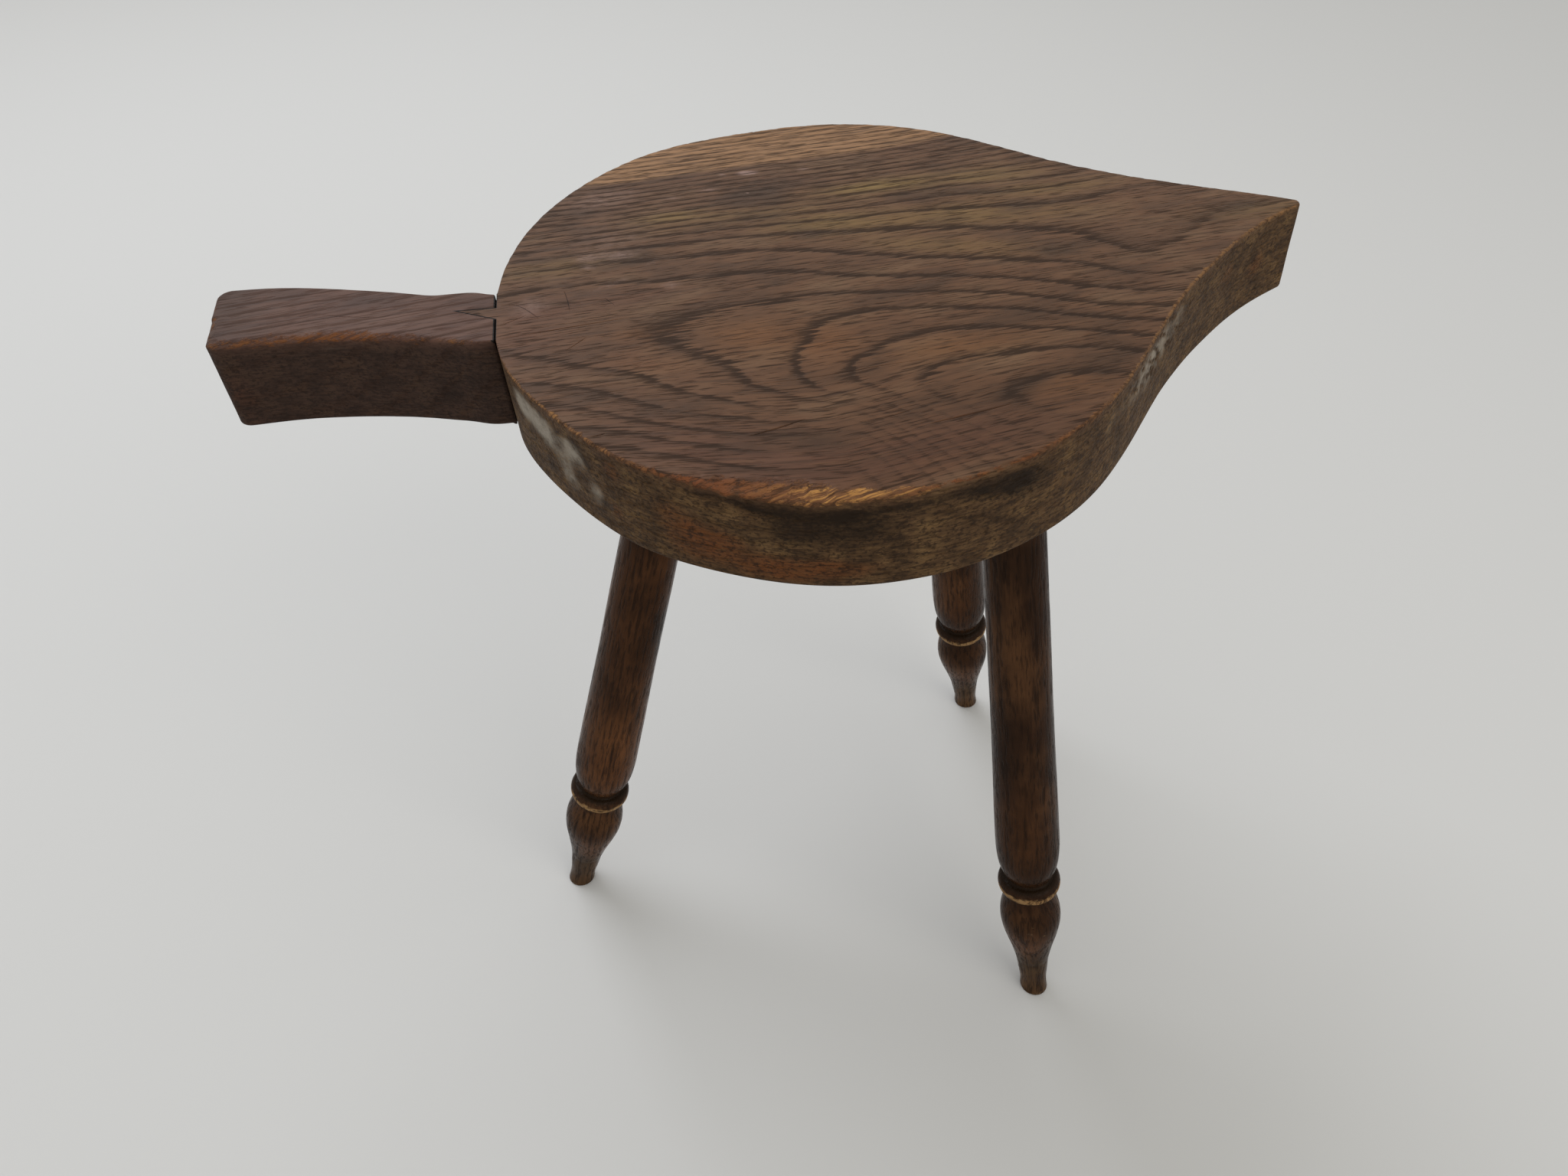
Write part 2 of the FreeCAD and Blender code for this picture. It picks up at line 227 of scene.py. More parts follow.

# Marks on the seat's walls: centre, reach, then pale scrape, black dirt with a painted shadow line,
# and orange
WALL_MARKS = [
    (9, -51, -9, 7, 11, 7, 1.0, 0.0, 0.0), (16, -66, -12, 8, 11, 8, 1.0, 0.0, 0.0),
    (26, -84, -11, 7, 9, 6, 0.9, 0.0, 0.0), (22, -78, -25, 6, 8, 9, 0.7, 0.0, 0.0),
    (31, -93, -22, 6, 6, 6, 0.5, 0.0, 0.1), (38, -102, -8, 6, 6, 7, 0.0, 0.0, 0.8),
    (37, -101, -27, 6, 5, 5, 0.3, 0.0, 0.7), (54, -118, -15, 14, 10, 9, 0.1, 0.0, 0.5),
    (70, -130, -23, 16, 9, 7, 0.1, 0.0, 0.6), (82, -136, -4, 20, 8, 3, 0.0, 1.0, 0.0),
    (94, -141, -13, 20, 8, 6, 0.0, 0.7, 0.1), (116, -147, -18, 18, 8, 8, 0.0, 0.6, 0.2),
    (106, -144, -31, 24, 8, 5, 0.0, 0.0, 0.7), (156, -145, -5, 14, 8, 6, 0.0, 0.9, 0.0),
    (170, -140, -8, 14, 9, 8, 0.0, 0.6, 0.0), (186, -131, -16, 14, 10, 12, 0.25, 0.0, 0.1),
    (210, -114, -14, 16, 14, 14, 0.3, 0.0, 0.3), (238, -86, -9, 25, 28, 13, 0.82, 0.0, 0.0),
    (262, -60, -9, 16, 17, 9, 0.4, 0.0, 0.0), (296, -27, -14, 12, 10, 10, 0.1, 0.2, 0.6),
    # The thin dark rows just under the near arris, from u 48 to 206, paint a shadow line under the
    # torn rim
    (316, -13, -20, 10, 8, 10, 0.2, 0.1, 0.7), (66, -128, -5, 10, 9, 2, 0.0, 0.9, 0.0),
    (84, -137, -7, 10, 9, 2.5, 0.0, 1.0, 0.0), (104, -145, -7.5, 14, 9, 3, 0.0, 1.0, 0.0),
    (130, -148, -6, 14, 9, 2, 0.0, 0.9, 0.0), (48, -112, -6, 8, 8, 2, 0.0, 0.7, 0.1),
    (206, -118, -5, 24, 12, 2, 0.0, 0.5, 0.1), (86, -138, -33, 28, 12, 7, 0.0, 0.0, 0.9),
    (60, -123, -28, 16, 12, 11, 0.0, 0.0, 0.7), (92, -141, -19, 16, 9, 6, 0.0, 0.4, 0.0),
    (122, -148, -12, 14, 9, 5, 0.0, 0.4, 0.0), (30, -92, -30, 10, 8, 8, 0.35, 0.0, 0.1),
    (178, -136, -13, 22, 10, 9, 0.0, 0.45, 0.0),
]

# Marks on the stalk's sides: centre, reach, then pale scrape, painted shade and rust
STEM_MARKS = [
    (-66, 0, -5.5, 14, 60, 2.2, 0.5, 0.0, 0.0), (-46, 0, -7, 7, 60, 1.6, 0.35, 0.0, 0.0),
    (-110, 0, -24, 14, 60, 18, 0.0, 0.0, 0.5), (-70, 0, -38, 44, 60, 3, 0.0, 0.0, 0.4),
    # The row at -14 paints shade on the stalk's sides where they meet the seat
    (-90, 0, -7, 18, 60, 3, 0.0, 0.0, 0.4), (-14, 0, -22, 8, 60, 18, 0.0, 0.35, 0.0),
]

# The legs: foot on the floor, splay, heading, length up to the seat, then where the tree's
# middle lies beside the leg's axis, the way its painted highlight faces, and how far it has faded
LEGS = {
    "leg_by_stem": ((-115.799, -25.489, 0.0), 12.85, 184.7, 376.7, (26.0, 11.0), 103, 0.55),
    "leg_front": ((161.542, -95.684, 0.0), 12.4, -42.7, 385.9, (-19.0, 30.0), -72, 0.0),
    "leg_back": ((144.897, 125.374, 0.0), 12.05, 39.6, 384.1, (9.0, -34.0), -143, 0.1),
}
TENON_RADIUS = 12.5
MORTISE_DEPTH = 27.0
MORTISE_END_ROOM = 1.0
SOLE_ROUND = 1.1

# The turned outline of a leg from the foot up: height along the axis, radius
VASE = [
    (0, 7.8), (4, 7.6), (9, 7.5), (17, 8.2), (26.1, 9.1), (35.8, 10.75), (46, 13.1), (56.3, 15.5),
    (66, 16.6), (74, 15.9), (81, 14.2), (86, 13.2), (88.2, 12.9),
]
BEAD = [
    (88.2, 12.9), (89.0, 15.0), (91.0, 16.4), (93.4, 16.8), (95.8, 16.4), (97.9, 14.9),
    (98.6, 12.9),
]
BULLET = [
    (98.6, 12.9), (100.0, 12.2), (101.6, 13.0), (104.8, 14.5), (110, 15.8), (117, 16.6),
    (127, 16.9),
]
SHAFT = [(127, 16.9), (150, 16.5), (180, 15.9), (220, 15.2), (260, 14.8), (300, 14.3), (340, 13.6)]

# Heights on a leg: the incised line, the vase's belly, the bead's rubbed rim, the necks
# below and above the bead, and the bullet's edge; then the run of the tenon's shoulder,
# the tenon's chamfer, the incised line's depth, and how far a leg is out of round
INCISED_LINE = 28.0
BELLY = 66.0
BEAD_RIM = 92.2
LOW_NECK = 87.2
HIGH_NECK = 98.6
BULLET_EDGE = 103.5
SHOULDER_RUN = 5
TENON_CHAMFER = 1.5
INCISED_DEPTH = 0.16
OVAL = 0.12
DENT = 0.1
LEG_SIDES = 96
MORTISE_SIDES = 48
MORTISE_RINGS = 8

# Steps in millimetres along the vase, bead, bullet, shaft and tenon; the radius of the
# cylinder on which a leg's dents are laid out; and the height by which its rings have
# turned from level with the floor to square with its axis
LEG_STEPS = (1.3, 0.6, 0.9, 4.0, 5)
DENT_CYLINDER = 9
FOOT_TURNED = 16

# Dirt in a leg's necks and incised line, and its painted highlight patches: height, reach, strength
LEG_DIRT = [(LOW_NECK, 1.0, 1.0), (HIGH_NECK, 2.4, 1.0), (INCISED_LINE, 0.9, 0.2)]
LEG_PAINTED_HIGHLIGHT = [(50, 13.0, 0.9), (135, 40.0, 0.5)]


def smooth_line(points, step):
    """A smooth curve through points in the plane, in even steps."""
    points = np.array(points, float)
    gaps = np.hypot(*np.diff(points, axis=0).T)
    at = np.concatenate([[0.0], np.cumsum(gaps)])
    count = len(points)
    matrix = np.eye(count)
    bend = np.zeros((count, 2))
    for i in range(1, count - 1):
        before, after = gaps[i - 1], gaps[i]
        matrix[i, i - 1 : i + 2] = before, 2 * (before + after), after
        bend[i] = 6 * ((points[i + 1] - points[i]) / after - (points[i] - points[i - 1]) / before)
    bend = np.linalg.solve(matrix, bend)
    want = np.linspace(0, at[-1], max(2, round(at[-1] / step) + 1))
    k = np.clip(np.searchsorted(at, want, side="right") - 1, 0, count - 2)
    gap = gaps[k][:, None]
    on = (want - at[k])[:, None]
    off = gap - on
    curve = (bend[k] * off**3 + bend[k + 1] * on**3) / (6 * gap)
    curve += (points[k] / gap - bend[k] * gap / 6) * off
    return curve + (points[k + 1] / gap - bend[k + 1] * gap / 6) * on


def straight_lines(points, step):
    """Straight lines from point to point, in steps that keep every corner."""
    line = [np.array(points[0], float)]
    for start, end in zip(points, points[1:]):
        start, end = np.array(start, float), np.array(end, float)
        count = max(1, round(np.hypot(*(end - start)) / step))
        line += [start + (end - start) * i / count for i in range(1, count + 1)]
    return np.array(line)


def corner_arc(before, corner, after, radius, count=7):
    """Points of the arc that rounds a corner between two straight lines."""
    before, corner, after = (np.array(p, float) for p in (before, corner, after))
    back = (before - corner) / np.hypot(*(before - corner))
    onward = (after - corner) / np.hypot(*(after - corner))
    half = math.acos(np.clip(back @ onward, -1, 1)) / 2
    middle = (back + onward) / np.hypot(*(back + onward))
    centre = corner + middle * radius / math.sin(half)
    start = corner + back * radius / math.tan(half) - centre
    end = corner + onward * radius / math.tan(half) - centre
    points = []
    for share in np.linspace(0, 1, count):
        arm = start * (1 - share) + end * share
        points.append(centre + arm * radius / np.hypot(*arm))
    return points


def joint_line(kerf, room):
    """The stalk joint from its far to its near end, round the tongue."""
    point = np.array(TONGUE_POINT)
    sides = []
    for side, root in zip((1, -1), TONGUE_ROOTS):
        arm = point - (0, root)
        arm /= np.hypot(*arm)
        start = np.array((0, root)) + side * room * np.array((arm[1], -arm[0]))
        sides.append((arm, start + arm * ((-kerf - start[0]) / arm[0])))
    half = math.acos(sides[0][0] @ sides[1][0]) / 2
    onward = sides[0][0] + sides[1][0]
    point = point + onward / np.hypot(*onward) * room / math.sin(half)
    return [(-kerf, JOINT_HALF), sides[0][1], point, sides[1][1], (-kerf, -JOINT_HALF)]


def outline(runs, step):
    """A closed outline from its runs, and a mark for its free points: 1, or 0 when glued."""
    points, free = [], []
    for kind, run in runs:
        line = smooth_line(run, step) if kind == "curve" else straight_lines(run, step)
        points.append(line[:-1])
        free.append(np.full(len(line) - 1, 0.0 if kind == "joint" else 1.0))
    return np.concatenate(points), np.concatenate(free)


def leaf_outline(step):
    """The outline of the seat, anticlockwise from the near end of the stalk joint."""
    near = [(along * LEAF_LENGTH, -out * NEAR_WIDTH) for along, out in NEAR_SIDE]
    far = [(along * LEAF_LENGTH, out * FAR_WIDTH) for along, out in FAR_SIDE]
    tip = corner_arc(near[-1], (LEAF_LENGTH, 0), far[-1], TIP_RADIUS)
    joint = joint_line(0, 0)
    runs = [("curve", [joint[-1]] + near + [tip[0]]), ("line", tip)]
    runs += [("curve", [tip[-1]] + far[::-1] + [joint[0]]), ("joint", joint)]
    return outline(runs, step)


def stem_outline(step):
    """The outline of the stalk, anticlockwise from the far end of the joint."""
    joint = joint_line(KERF, GLUE)
    near, far = [], []
    for along, sweep, width in STEM_STATIONS:
        middle = np.array((-along * STEM_LENGTH, sweep * STEM_SWEEP))
        half = np.array((0, width * STEM_END_WIDTH / 2))
        near.append(middle - half)
        far.append(middle + half)
    end = np.array((-STEM_LENGTH, STEM_SWEEP))
    half = np.array((-STEM_END_SKEW / 2, STEM_END_WIDTH / 2))
    far_arc = corner_arc(far[-1], end + half, end - half, STEM_CORNER_RADIUS)
    near_arc = corner_arc(end + half, end - half, near[-1], STEM_CORNER_RADIUS)
    runs = [("curve", [joint[0]] + far + [far_arc[0]]), ("line", far_arc)]
    runs += [("line", [far_arc[-1], near_arc[0]]), ("line", near_arc)]
    runs += [("curve", [near_arc[-1]] + near[::-1] + [joint[-1]]), ("joint", joint[::-1])]
    return outline(runs, step)


def inward_of(points):
    """The way into the board at each point of an outline, longer at sharp corners."""
    along = np.roll(points, -1, 0) - points
    along /= np.linalg.norm(along, axis=1)[:, None]
    normal = np.stack([-along[:, 1], along[:, 0]], 1)
    before = np.roll(normal, 1, 0)
    return (normal + before) / (1 + (normal * before).sum(1))[:, None]


def rough(points, sizes, seed=0.0):
    """Smooth noise from about -1 to 1 at each point, with lumps of the given sizes."""
    return np.array([noise.noise(Vector(p)) for p in np.asarray(points) / sizes + seed])


def smooth_step(low, high, value):
    """A share that rises smoothly from 0 to 1 as a value goes from low to high."""
    share = np.clip((np.asarray(value) - low) / (high - low), 0, 1)
    return share * share * (3 - 2 * share)


def hump(value, middle, reach):
    """A soft hump of 1 at a middle, nearly gone at twice its reach."""
    return np.exp(-(((value - middle) / reach) ** 2))


def inside(points, rim):
    """Which points lie inside a closed rim."""
    x, y = points.T
    hit = np.zeros(len(points), bool)
    for (x0, y0), (x1, y1) in zip(rim, np.roll(rim, -1, 0)):
        if y0 != y1:
            hit ^= ((y0 > y) != (y1 > y)) & (x < (x1 - x0) * (y - y0) / (y1 - y0) + x0)
    return hit


def groove(half_width, depth, points):
    """The lips and the sunk floor of a check that tapers to nothing at both ends."""
    middle = smooth_line(points, 1.5)
    along = np.gradient(middle, axis=0)
    along /= np.linalg.norm(along, axis=1)[:, None]
    taper = np.sin(np.linspace(0, math.pi, len(middle))) ** 0.5
    taper[[0, -1]] = 0
    taper *= 1 + 0.35 * rough(np.c_[middle, middle[:, 0] * 0], 4.0)
    side = np.stack([-along[:, 1], along[:, 0]], 1)
    lines = [np.c_[middle, depth * taper, taper]]
    for room in (0, GROOVE_SHOULDER):
        arm = side * (half_width * taper + room)[:, None]
        lines += [np.c_[middle + arm * way, taper * 0, taper * 0] for way in (1, -1)]
    return lines


def sheet(rim, height, spacing, holes=(), grooves=(), face_up=True):
    """Rows of (u, v, w, crack) and triangles of a flat sheet inside a rim, round holes."""
    chains = [np.c_[loop, np.zeros((len(loop), 2))] for loop in [rim, *holes]]
    closed = len(chains)
    chains += [chain for group in grooves for chain in group]
    edges, start = [], 0
    for index, chain in enumerate(chains):
        ids = np.arange(start, start + len(chain))
        edges += list(zip(ids[:-1], ids[1:]))
        if index < closed:
            edges.append((ids[-1], ids[0]))
        start += len(chain)
    fixed = np.concatenate(chains)
    low, high = rim.min(0), rim.max(0)
    rows = np.arange(low[1], high[1], spacing * math.sqrt(3) / 2)
    grid = []
    for index, v in enumerate(rows):
        u = np.arange(low[0] + spacing * (index % 2) / 2, high[0], spacing)
        grid.append(np.stack([u, np.full(len(u), v)], 1))
    grid = np.concatenate(grid)
    grid = grid[inside(grid, rim)]
    for hole in holes:
        grid = grid[~inside(grid, hole)]
    tree = kdtree.KDTree(len(fixed))
    for index, point in enumerate(fixed):
        tree.insert((point[0], point[1], 0), index)
    tree.balance()
    clear = [tree.find((u, v, 0))[2] > spacing * SHEET_CLEAR for u, v in grid]
    grid = grid[np.array(clear)]
    every = np.concatenate([fixed, np.c_[grid, np.zeros((len(grid), 2))]])
    made = geometry.delaunay_2d_cdt(
        [Vector(p) for p in every[:, :2]], [(int(a), int(b)) for a, b in edges], [], 1, WELD
    )
    sunk = [every[source[0], 2:] if source else (0, 0) for source in made[3]]
    flat = [every[source[0], :2] if source else tuple(p) for p, source in zip(made[0], made[3])]
    flat = np.array(flat)
    sunk = np.array(sunk)
    rows = np.c_[flat, height - sunk[:, 0], sunk[:, 1]]
    faces = np.array(made[2])
    middles = flat[faces].mean(1)
    for hole in holes:
        keep = ~inside(middles, hole)
        faces, middles = faces[keep], middles[keep]
    return rows, faces if face_up else faces[:, ::-1]


def band(rows, count):
    """Four-sided faces between rows of points that run round a closed loop."""
    here = np.arange(count)
    onward = np.roll(here, -1)
    faces = []
    for row in range(rows - 1):
        top, low = row * count, (row + 1) * count
        faces.append(np.stack([top + here, low + here, low + onward, top + onward], 1))
    return np.concatenate(faces)


def fan(ring, way, note):
    """A flat end inside a ring: its points with their middle, their note, and triangles."""
    size = len(ring)
    here = np.arange(size)
    triangles = np.stack([np.full(size, size), np.roll(here, -1), here], 1)
    return np.concatenate([ring, [ring.mean(0)]]), note, triangles[:, ::way]


# What a point knows of itself: sawn wall or not, bare, orange, pale, and cracked
SAWN_NOTE = (1, 0, 0, 0, 0)
UNDERSIDE_NOTE = (0.55, 0, 0, 0, 0)
PLAIN_NOTE = (0, 0, 0, 0, 0)


class Cutting:
    """Points of one wooden piece, with what each knows of its side, wear and cracks."""

    def __init__(self):
        self.points, self.notes, self.faces, self.count = [], [], [], 0

    def add(self, points, notes, faces):
        """Adds points with their notes, and faces that count from the first of them."""
        self.points.append(np.asarray(points, float))
        self.notes.append(np.broadcast_to(notes, (len(points), 5)))
        self.faces += [tuple(face) for face in (np.asarray(faces) + self.count).tolist()]
        self.count += len(points)

    def join(self):
        """All the points once, their notes, and the faces between them."""
        points = np.concatenate(self.points)
        notes = np.concatenate(self.notes)
        keys, first, back = np.unique(
            np.round(points, 3), axis=0, return_index=True, return_inverse=True
        )
        back = back.ravel()
        merged = np.zeros((len(keys), notes.shape[1]))
        np.maximum.at(merged, back, notes)
        faces = [tuple(back[list(face)].tolist()) for face in self.faces]
        faces = [face for face in faces if len(set(face)) == len(face)]
        return points[first], merged, faces


def wooden_piece(name, points, faces, fields, pose, material):
    """A smooth-shaded mesh from points in millimetres, with fields for its material."""
    mesh = bpy.data.meshes.new(name)
    world = points @ np.array(pose.to_3x3()).T + np.array(pose.translation)
    mesh.from_pydata((world * MM).tolist(), [], faces)
    for field, values in fields.items():
        values = np.asarray(values, np.float32)
        kind = "FLOAT" if values.ndim == 1 else "FLOAT_VECTOR"
        layer = mesh.attributes.new(field, kind, "POINT")
        layer.data.foreach_set("value" if values.ndim == 1 else "vector", values.ravel())
    mesh.polygons.foreach_set("use_smooth", [True] * len(faces))
    mesh.materials.append(material)
    mesh.update()
    mesh.validate()
    piece = bpy.data.objects.new(name, mesh)
    bpy.context.scene.collection.objects.link(piece)
    return piece


# Wear in millimetres: how far the tops are let down, and how deep the walls wave, are torn
# along the fibres and in lumps, sawn into, crumbled and undercut
TOP_LET_DOWN = 0.22
TOP_HOLLOWS = 0.16
TOP_RIPPLES = 0.05
WALL_WAVE = 0.16
TORN_FIBRE = 0.45
TORN_LUMP = 0.5
SAW_DEPTH = 0.7
CRUMBLE_DEPTH = 0.7
UNDERCUT = 0.7
STEM_WAVE = 0.12
STEM_KNOCKS = 0.06


def hollow(points):
    """How far old wear has let the tops down at each place, in millimetres."""
    flat = np.c_[points[:, :2], np.zeros(len(points))]
    let_down = TOP_LET_DOWN + TOP_HOLLOWS * rough(flat, 55.0, 3.1)
    return let_down + TOP_RIPPLES * rough(flat, 14.0, 8.4)


def plank(loop, free, arris, grooves, holes, steps, relief):
    """A board with worn arrises: walls from a loop, a top sheet and a bottom sheet."""
    cutting = Cutting()
    spacing, wall_step = steps
    count = len(loop)
    inward = inward_of(loop)
    width, depth, bare, orange, pale = arris.T
    under = np.where(free > 0, BOTTOM_EASE, GLUED_EASE)
    # A narrow strip is eased to an arc, and one much wider than deep to a flat slope. It is
    # barest at its middle, and the bare wood ends a little way down the wall.
    flat = np.clip((width / depth - 1.2) / 1.2, 0, 1)
    rows = []
    for turn in np.linspace(90, 0, ARRIS_STEPS):
        lean = turn / 90
        inset = width * ((1 - flat) * (1 - math.cos(math.radians(turn))) + flat * lean)
        drop = depth * ((1 - flat) * (1 - math.sin(math.radians(turn))) + flat * (1 - lean))
        worn = bare * (0.35 + 0.65 * math.sin(math.pi * (0.15 + 0.85 * lean)))
        rows.append((inset, drop, worn))
    for share in np.linspace(0, 1, round(SEAT_THICKNESS / wall_step))[1:]:
        drop = depth + (SEAT_THICKNESS - depth - under) * share
        rows.append((0 * width, drop, bare * max(0, 0.3 - share * 8)))
    for turn in (30, 60, 90):
        inset = under * (1 - math.cos(math.radians(turn)))
        drop = SEAT_THICKNESS - under * (1 - math.sin(math.radians(turn)))
        rows.append((inset, drop, bare * 0.1))
    grid, notes = [], []
    for index, (inset, drop, worn) in enumerate(rows):
        place = np.c_[loop + inward * inset[:, None], -drop]
        place[:, :2] += inward * (free * relief(place, index, arris))[:, None]
        side = np.full(count, smooth_step(3, 9, index))
        seam = (1 - free) * (0 < index < ARRIS_STEPS)
        grid.append(place)
        notes.append(np.c_[side, worn * free, orange, pale, seam])
    cutting.add(np.concatenate(grid), np.concatenate(notes), band(len(grid), count))
    points, faces = sheet(grid[0][:, :2], 0.0, spacing, grooves=grooves)
    cutting.add(points[:, :3], np.c_[np.zeros((len(points), 4)), points[:, 3]], faces)
    mouths = [hole[0][:, :2] for hole in holes]
    points, faces = sheet(
        grid[-1][:, :2], -SEAT_THICKNESS, spacing * UNDERSIDE_COARSER, mouths, face_up=False
    )
    cutting.add(points[:, :3], UNDERSIDE_NOTE, faces)
    for hole in holes:
        size = len(hole[0])
        cutting.add(np.concatenate(hole), SAWN_NOTE, band(len(hole), size))
        cutting.add(*fan(hole[-1], 1, SAWN_NOTE))
    points, notes, faces = cutting.join()
    points[:, 2] -= hollow(points) * smooth_step(-12, 0, points[:, 2])
    return points, notes, faces


def leg_pose(foot, splay, heading):
    """The frame of a leg: its axis leans in from the foot, and its x faces outwards."""
    splay, heading = math.radians(splay), math.radians(heading)
    out = Vector((math.cos(heading), math.sin(heading), 0))
    up = Vector((0, 0, math.cos(splay))) - out * math.sin(splay)
    side = up.cross(out).normalized()
    turned = Matrix((side.cross(up), side, up)).transposed().to_4x4()
    return Matrix.Translation(foot) @ turned


def mortises():
    """The three blind holes, as rings of points from the seat's underside inwards."""
    to_seat = SEAT_POSE.inverted()
    holes = []
    for foot, splay, heading, run, *_ in LEGS.values():
        pose = to_seat @ leg_pose(foot, splay, heading)
        up = pose.to_3x3() @ Vector((0, 0, 1))
        ring = []
        for index in range(MORTISE_SIDES):
            turn = 2 * math.pi * index / MORTISE_SIDES
            arm = Vector((math.cos(turn), math.sin(turn), 0)) * (TENON_RADIUS + GLUE)
            ring.append(pose @ (arm + Vector((0, 0, run))))
        ring = np.array([tuple(p) for p in ring])
        up = np.array(up)
        first = ring + up * ((-SEAT_THICKNESS - ring[:, 2]) / up[2])[:, None]
        last = ring + up * (MORTISE_DEPTH + MORTISE_END_ROOM)
        shares = np.linspace(0, 1, MORTISE_RINGS)
        holes.append([first + (last - first) * share for share in shares])
    return holes


RING_POINTS = np.array([p for ring in GROWTH_RINGS.values() for p in ring], float)
RING_COUNTS = np.array([float(n) for n, ring in GROWTH_RINGS.items() for _ in ring])


# The sheet through the ring points is worked out in decimetres, and gives way a little
DECIMETRE = 100
SHEET_GIVE = 0.02
SHEET_BATCH = 8192


def bend_of(distance):
    """The bending of a thin sheet round a point, at a distance in decimetres."""
    return np.where(distance > 0, distance**2 * np.log(distance + 1e-9), 0)


def ring_weights():
    """Weights that make a thin bent sheet pass through all the ring points."""
    size = len(RING_POINTS)
    gaps = np.linalg.norm(RING_POINTS[:, None] - RING_POINTS[None], axis=-1) / DECIMETRE
    flat = np.c_[np.ones(size), RING_POINTS / DECIMETRE]
    matrix = np.block(
        [[bend_of(gaps) + SHEET_GIVE * np.eye(size), flat], [flat.T, np.zeros((3, 3))]]
    )
    return np.linalg.solve(matrix, np.concatenate([RING_COUNTS, np.zeros(3)]))


RING_WEIGHTS = ring_weights()


def rings_at(flat):
    """The count of growth rings at places on the seat's top."""
    counts = []
    for start in range(0, len(flat), SHEET_BATCH):
        part = flat[start : start + SHEET_BATCH]
        gaps = np.linalg.norm(part[:, None] - RING_POINTS[None], axis=-1) / DECIMETRE
        tilt = RING_WEIGHTS[-3] + part @ RING_WEIGHTS[-2:] / DECIMETRE
        counts.append(bend_of(gaps) @ RING_WEIGHTS[:-3] + tilt)
    return np.concatenate(counts)


def seat_rings(points):
    """Growth rings all through the plank, the rings on top, and their spacing there."""
    flat = points[:, :2]
    here = rings_at(flat)
    slope = np.hypot(rings_at(flat + (1, 0)) - here, rings_at(flat + (0, 1)) - here)
    dive = np.sqrt(np.clip(1 / RING_WIDTH**2 - slope**2, 0, None))
    return here - dive * points[:, 2], here, np.sqrt(RING_WIDTH / np.clip(slope, 0.04, None))


# The fibres swing near the seat's front rim: where across and along the leaf the swing
# starts and is full or gone, the middle it turns about, and how steep it is
SWING_ACROSS = (-50, -95)
SWING_ALONG = (90, 210)
SWING_MIDDLE = (55, -65)
SWING_SLOPES = (0.15, 0.2)


def seat_grain(points):
    """Along, across and depth of the fibres, which swing down near the front rim."""
    u, v, w = points.T
    swing = smooth_step(*SWING_ACROSS, v) * (1 - smooth_step(*SWING_ALONG, u))
    lean = np.clip(u - SWING_MIDDLE[0], -55, 60)
    across = v + SWING_SLOPES[1] * swing * lean
    along = u - SWING_SLOPES[0] * swing * (v - SWING_MIDDLE[1])
    return np.c_[along, across, w]


def spots(points, table, size):
    """Sums of soft spots from a table: centre, reach, turn or third axis, then strengths."""
    total = np.zeros((len(points), size))
    for row in table:
        if len(row) == size + 5:
            u, v, reach_u, reach_v, turn = row[:5]
            c, s = math.cos(math.radians(turn)), math.sin(math.radians(turn))
            du, dv = points[:, 0] - u, points[:, 1] - v
            far = ((du * c + dv * s) / reach_u) ** 2 + ((dv * c - du * s) / reach_v) ** 2
        else:
            far = (((points - row[:3]) / row[3:6]) ** 2).sum(1)
        total += np.exp(-far)[:, None] * np.array(row[-size:])
    return np.clip(total, 0, 1)


# Where the saw marked the wall: it starts, it ends, and how far down, each with its fading
SAWN_STARTS = (216, 228)
SAWN_ENDS = (262, 280)
SAWN_LOWEST = (-22, -12)


def saw_strokes(points):
    """Slanted strokes that a saw left on the wall beside the tip, up to about 1."""
    u, v, w = points.T
    along = 0.75 * u + 0.65 * v
    slant = np.c_[0.91 * along - 0.41 * w, 0.41 * along + 0.91 * w, w * 0]
    zone = smooth_step(*SAWN_STARTS, u) * (1 - smooth_step(*SAWN_ENDS, u))
    zone *= (v < 0) * smooth_step(*SAWN_LOWEST, w)
    return np.clip(2.6 * rough(slant, (9.0, 1.6, 1.0), 9.3) - 0.4, 0, 1) * zone


def seat_relief(place, index, arris):
    """How deep the seat's walls are eaten in, in millimetres, at one row of the wall.

    Rows count from 0 at the edge of the top, round the eased arris and on down the wall.
    The whole wall waves a little. Where the arris is wide its fibres are torn, with an
    undercut below. The rim crumbles past the torn place, and a saw marked the tip's wall.
    """
    u, v, w = place.T
    width = arris[:, 0]
    torn = smooth_step(2.5, 6.0, width) * smooth_step(0, 2, index) * (1 - smooth_step(6, 10, index))
    leaning = np.c_[u * 0.94 + v * 0.34, v * 0.94 - u * 0.34, w]
    fibre = rough(leaning, (14.0, 0.9, 0.9), 1.7)
    lumps = rough(place, 7.0, 5.2)
    wave = WALL_WAVE * (1 + rough(place, (24.0, 24.0, 18.0), 4.4))
    gouge = SAW_DEPTH * saw_strokes(place) * smooth_step(3, 8, index)
    crumble = np.clip(rough(place, 3.0, 6.6), 0, None) * smooth_step(148, 165, u)
    crumble *= (u < 210) * (v < 0) * (1 - smooth_step(5, 9, index))
    under = UNDERCUT * smooth_step(3.0, 5.5, width) * smooth_step(5, 7, index)
    under *= 1 - smooth_step(8, 11, index)
    torn *= TORN_FIBRE * fibre + TORN_LUMP * lumps
    return wave + torn + gouge + CRUMBLE_DEPTH * crumble + under


def stem_relief(place, *_):
    """How deep the stalk's walls are eaten in by wear and knocks, in millimetres."""
    return STEM_WAVE * (1 + rough(place, 16.0, 2.3)) + STEM_KNOCKS * rough(place, 4.0, 7.9)


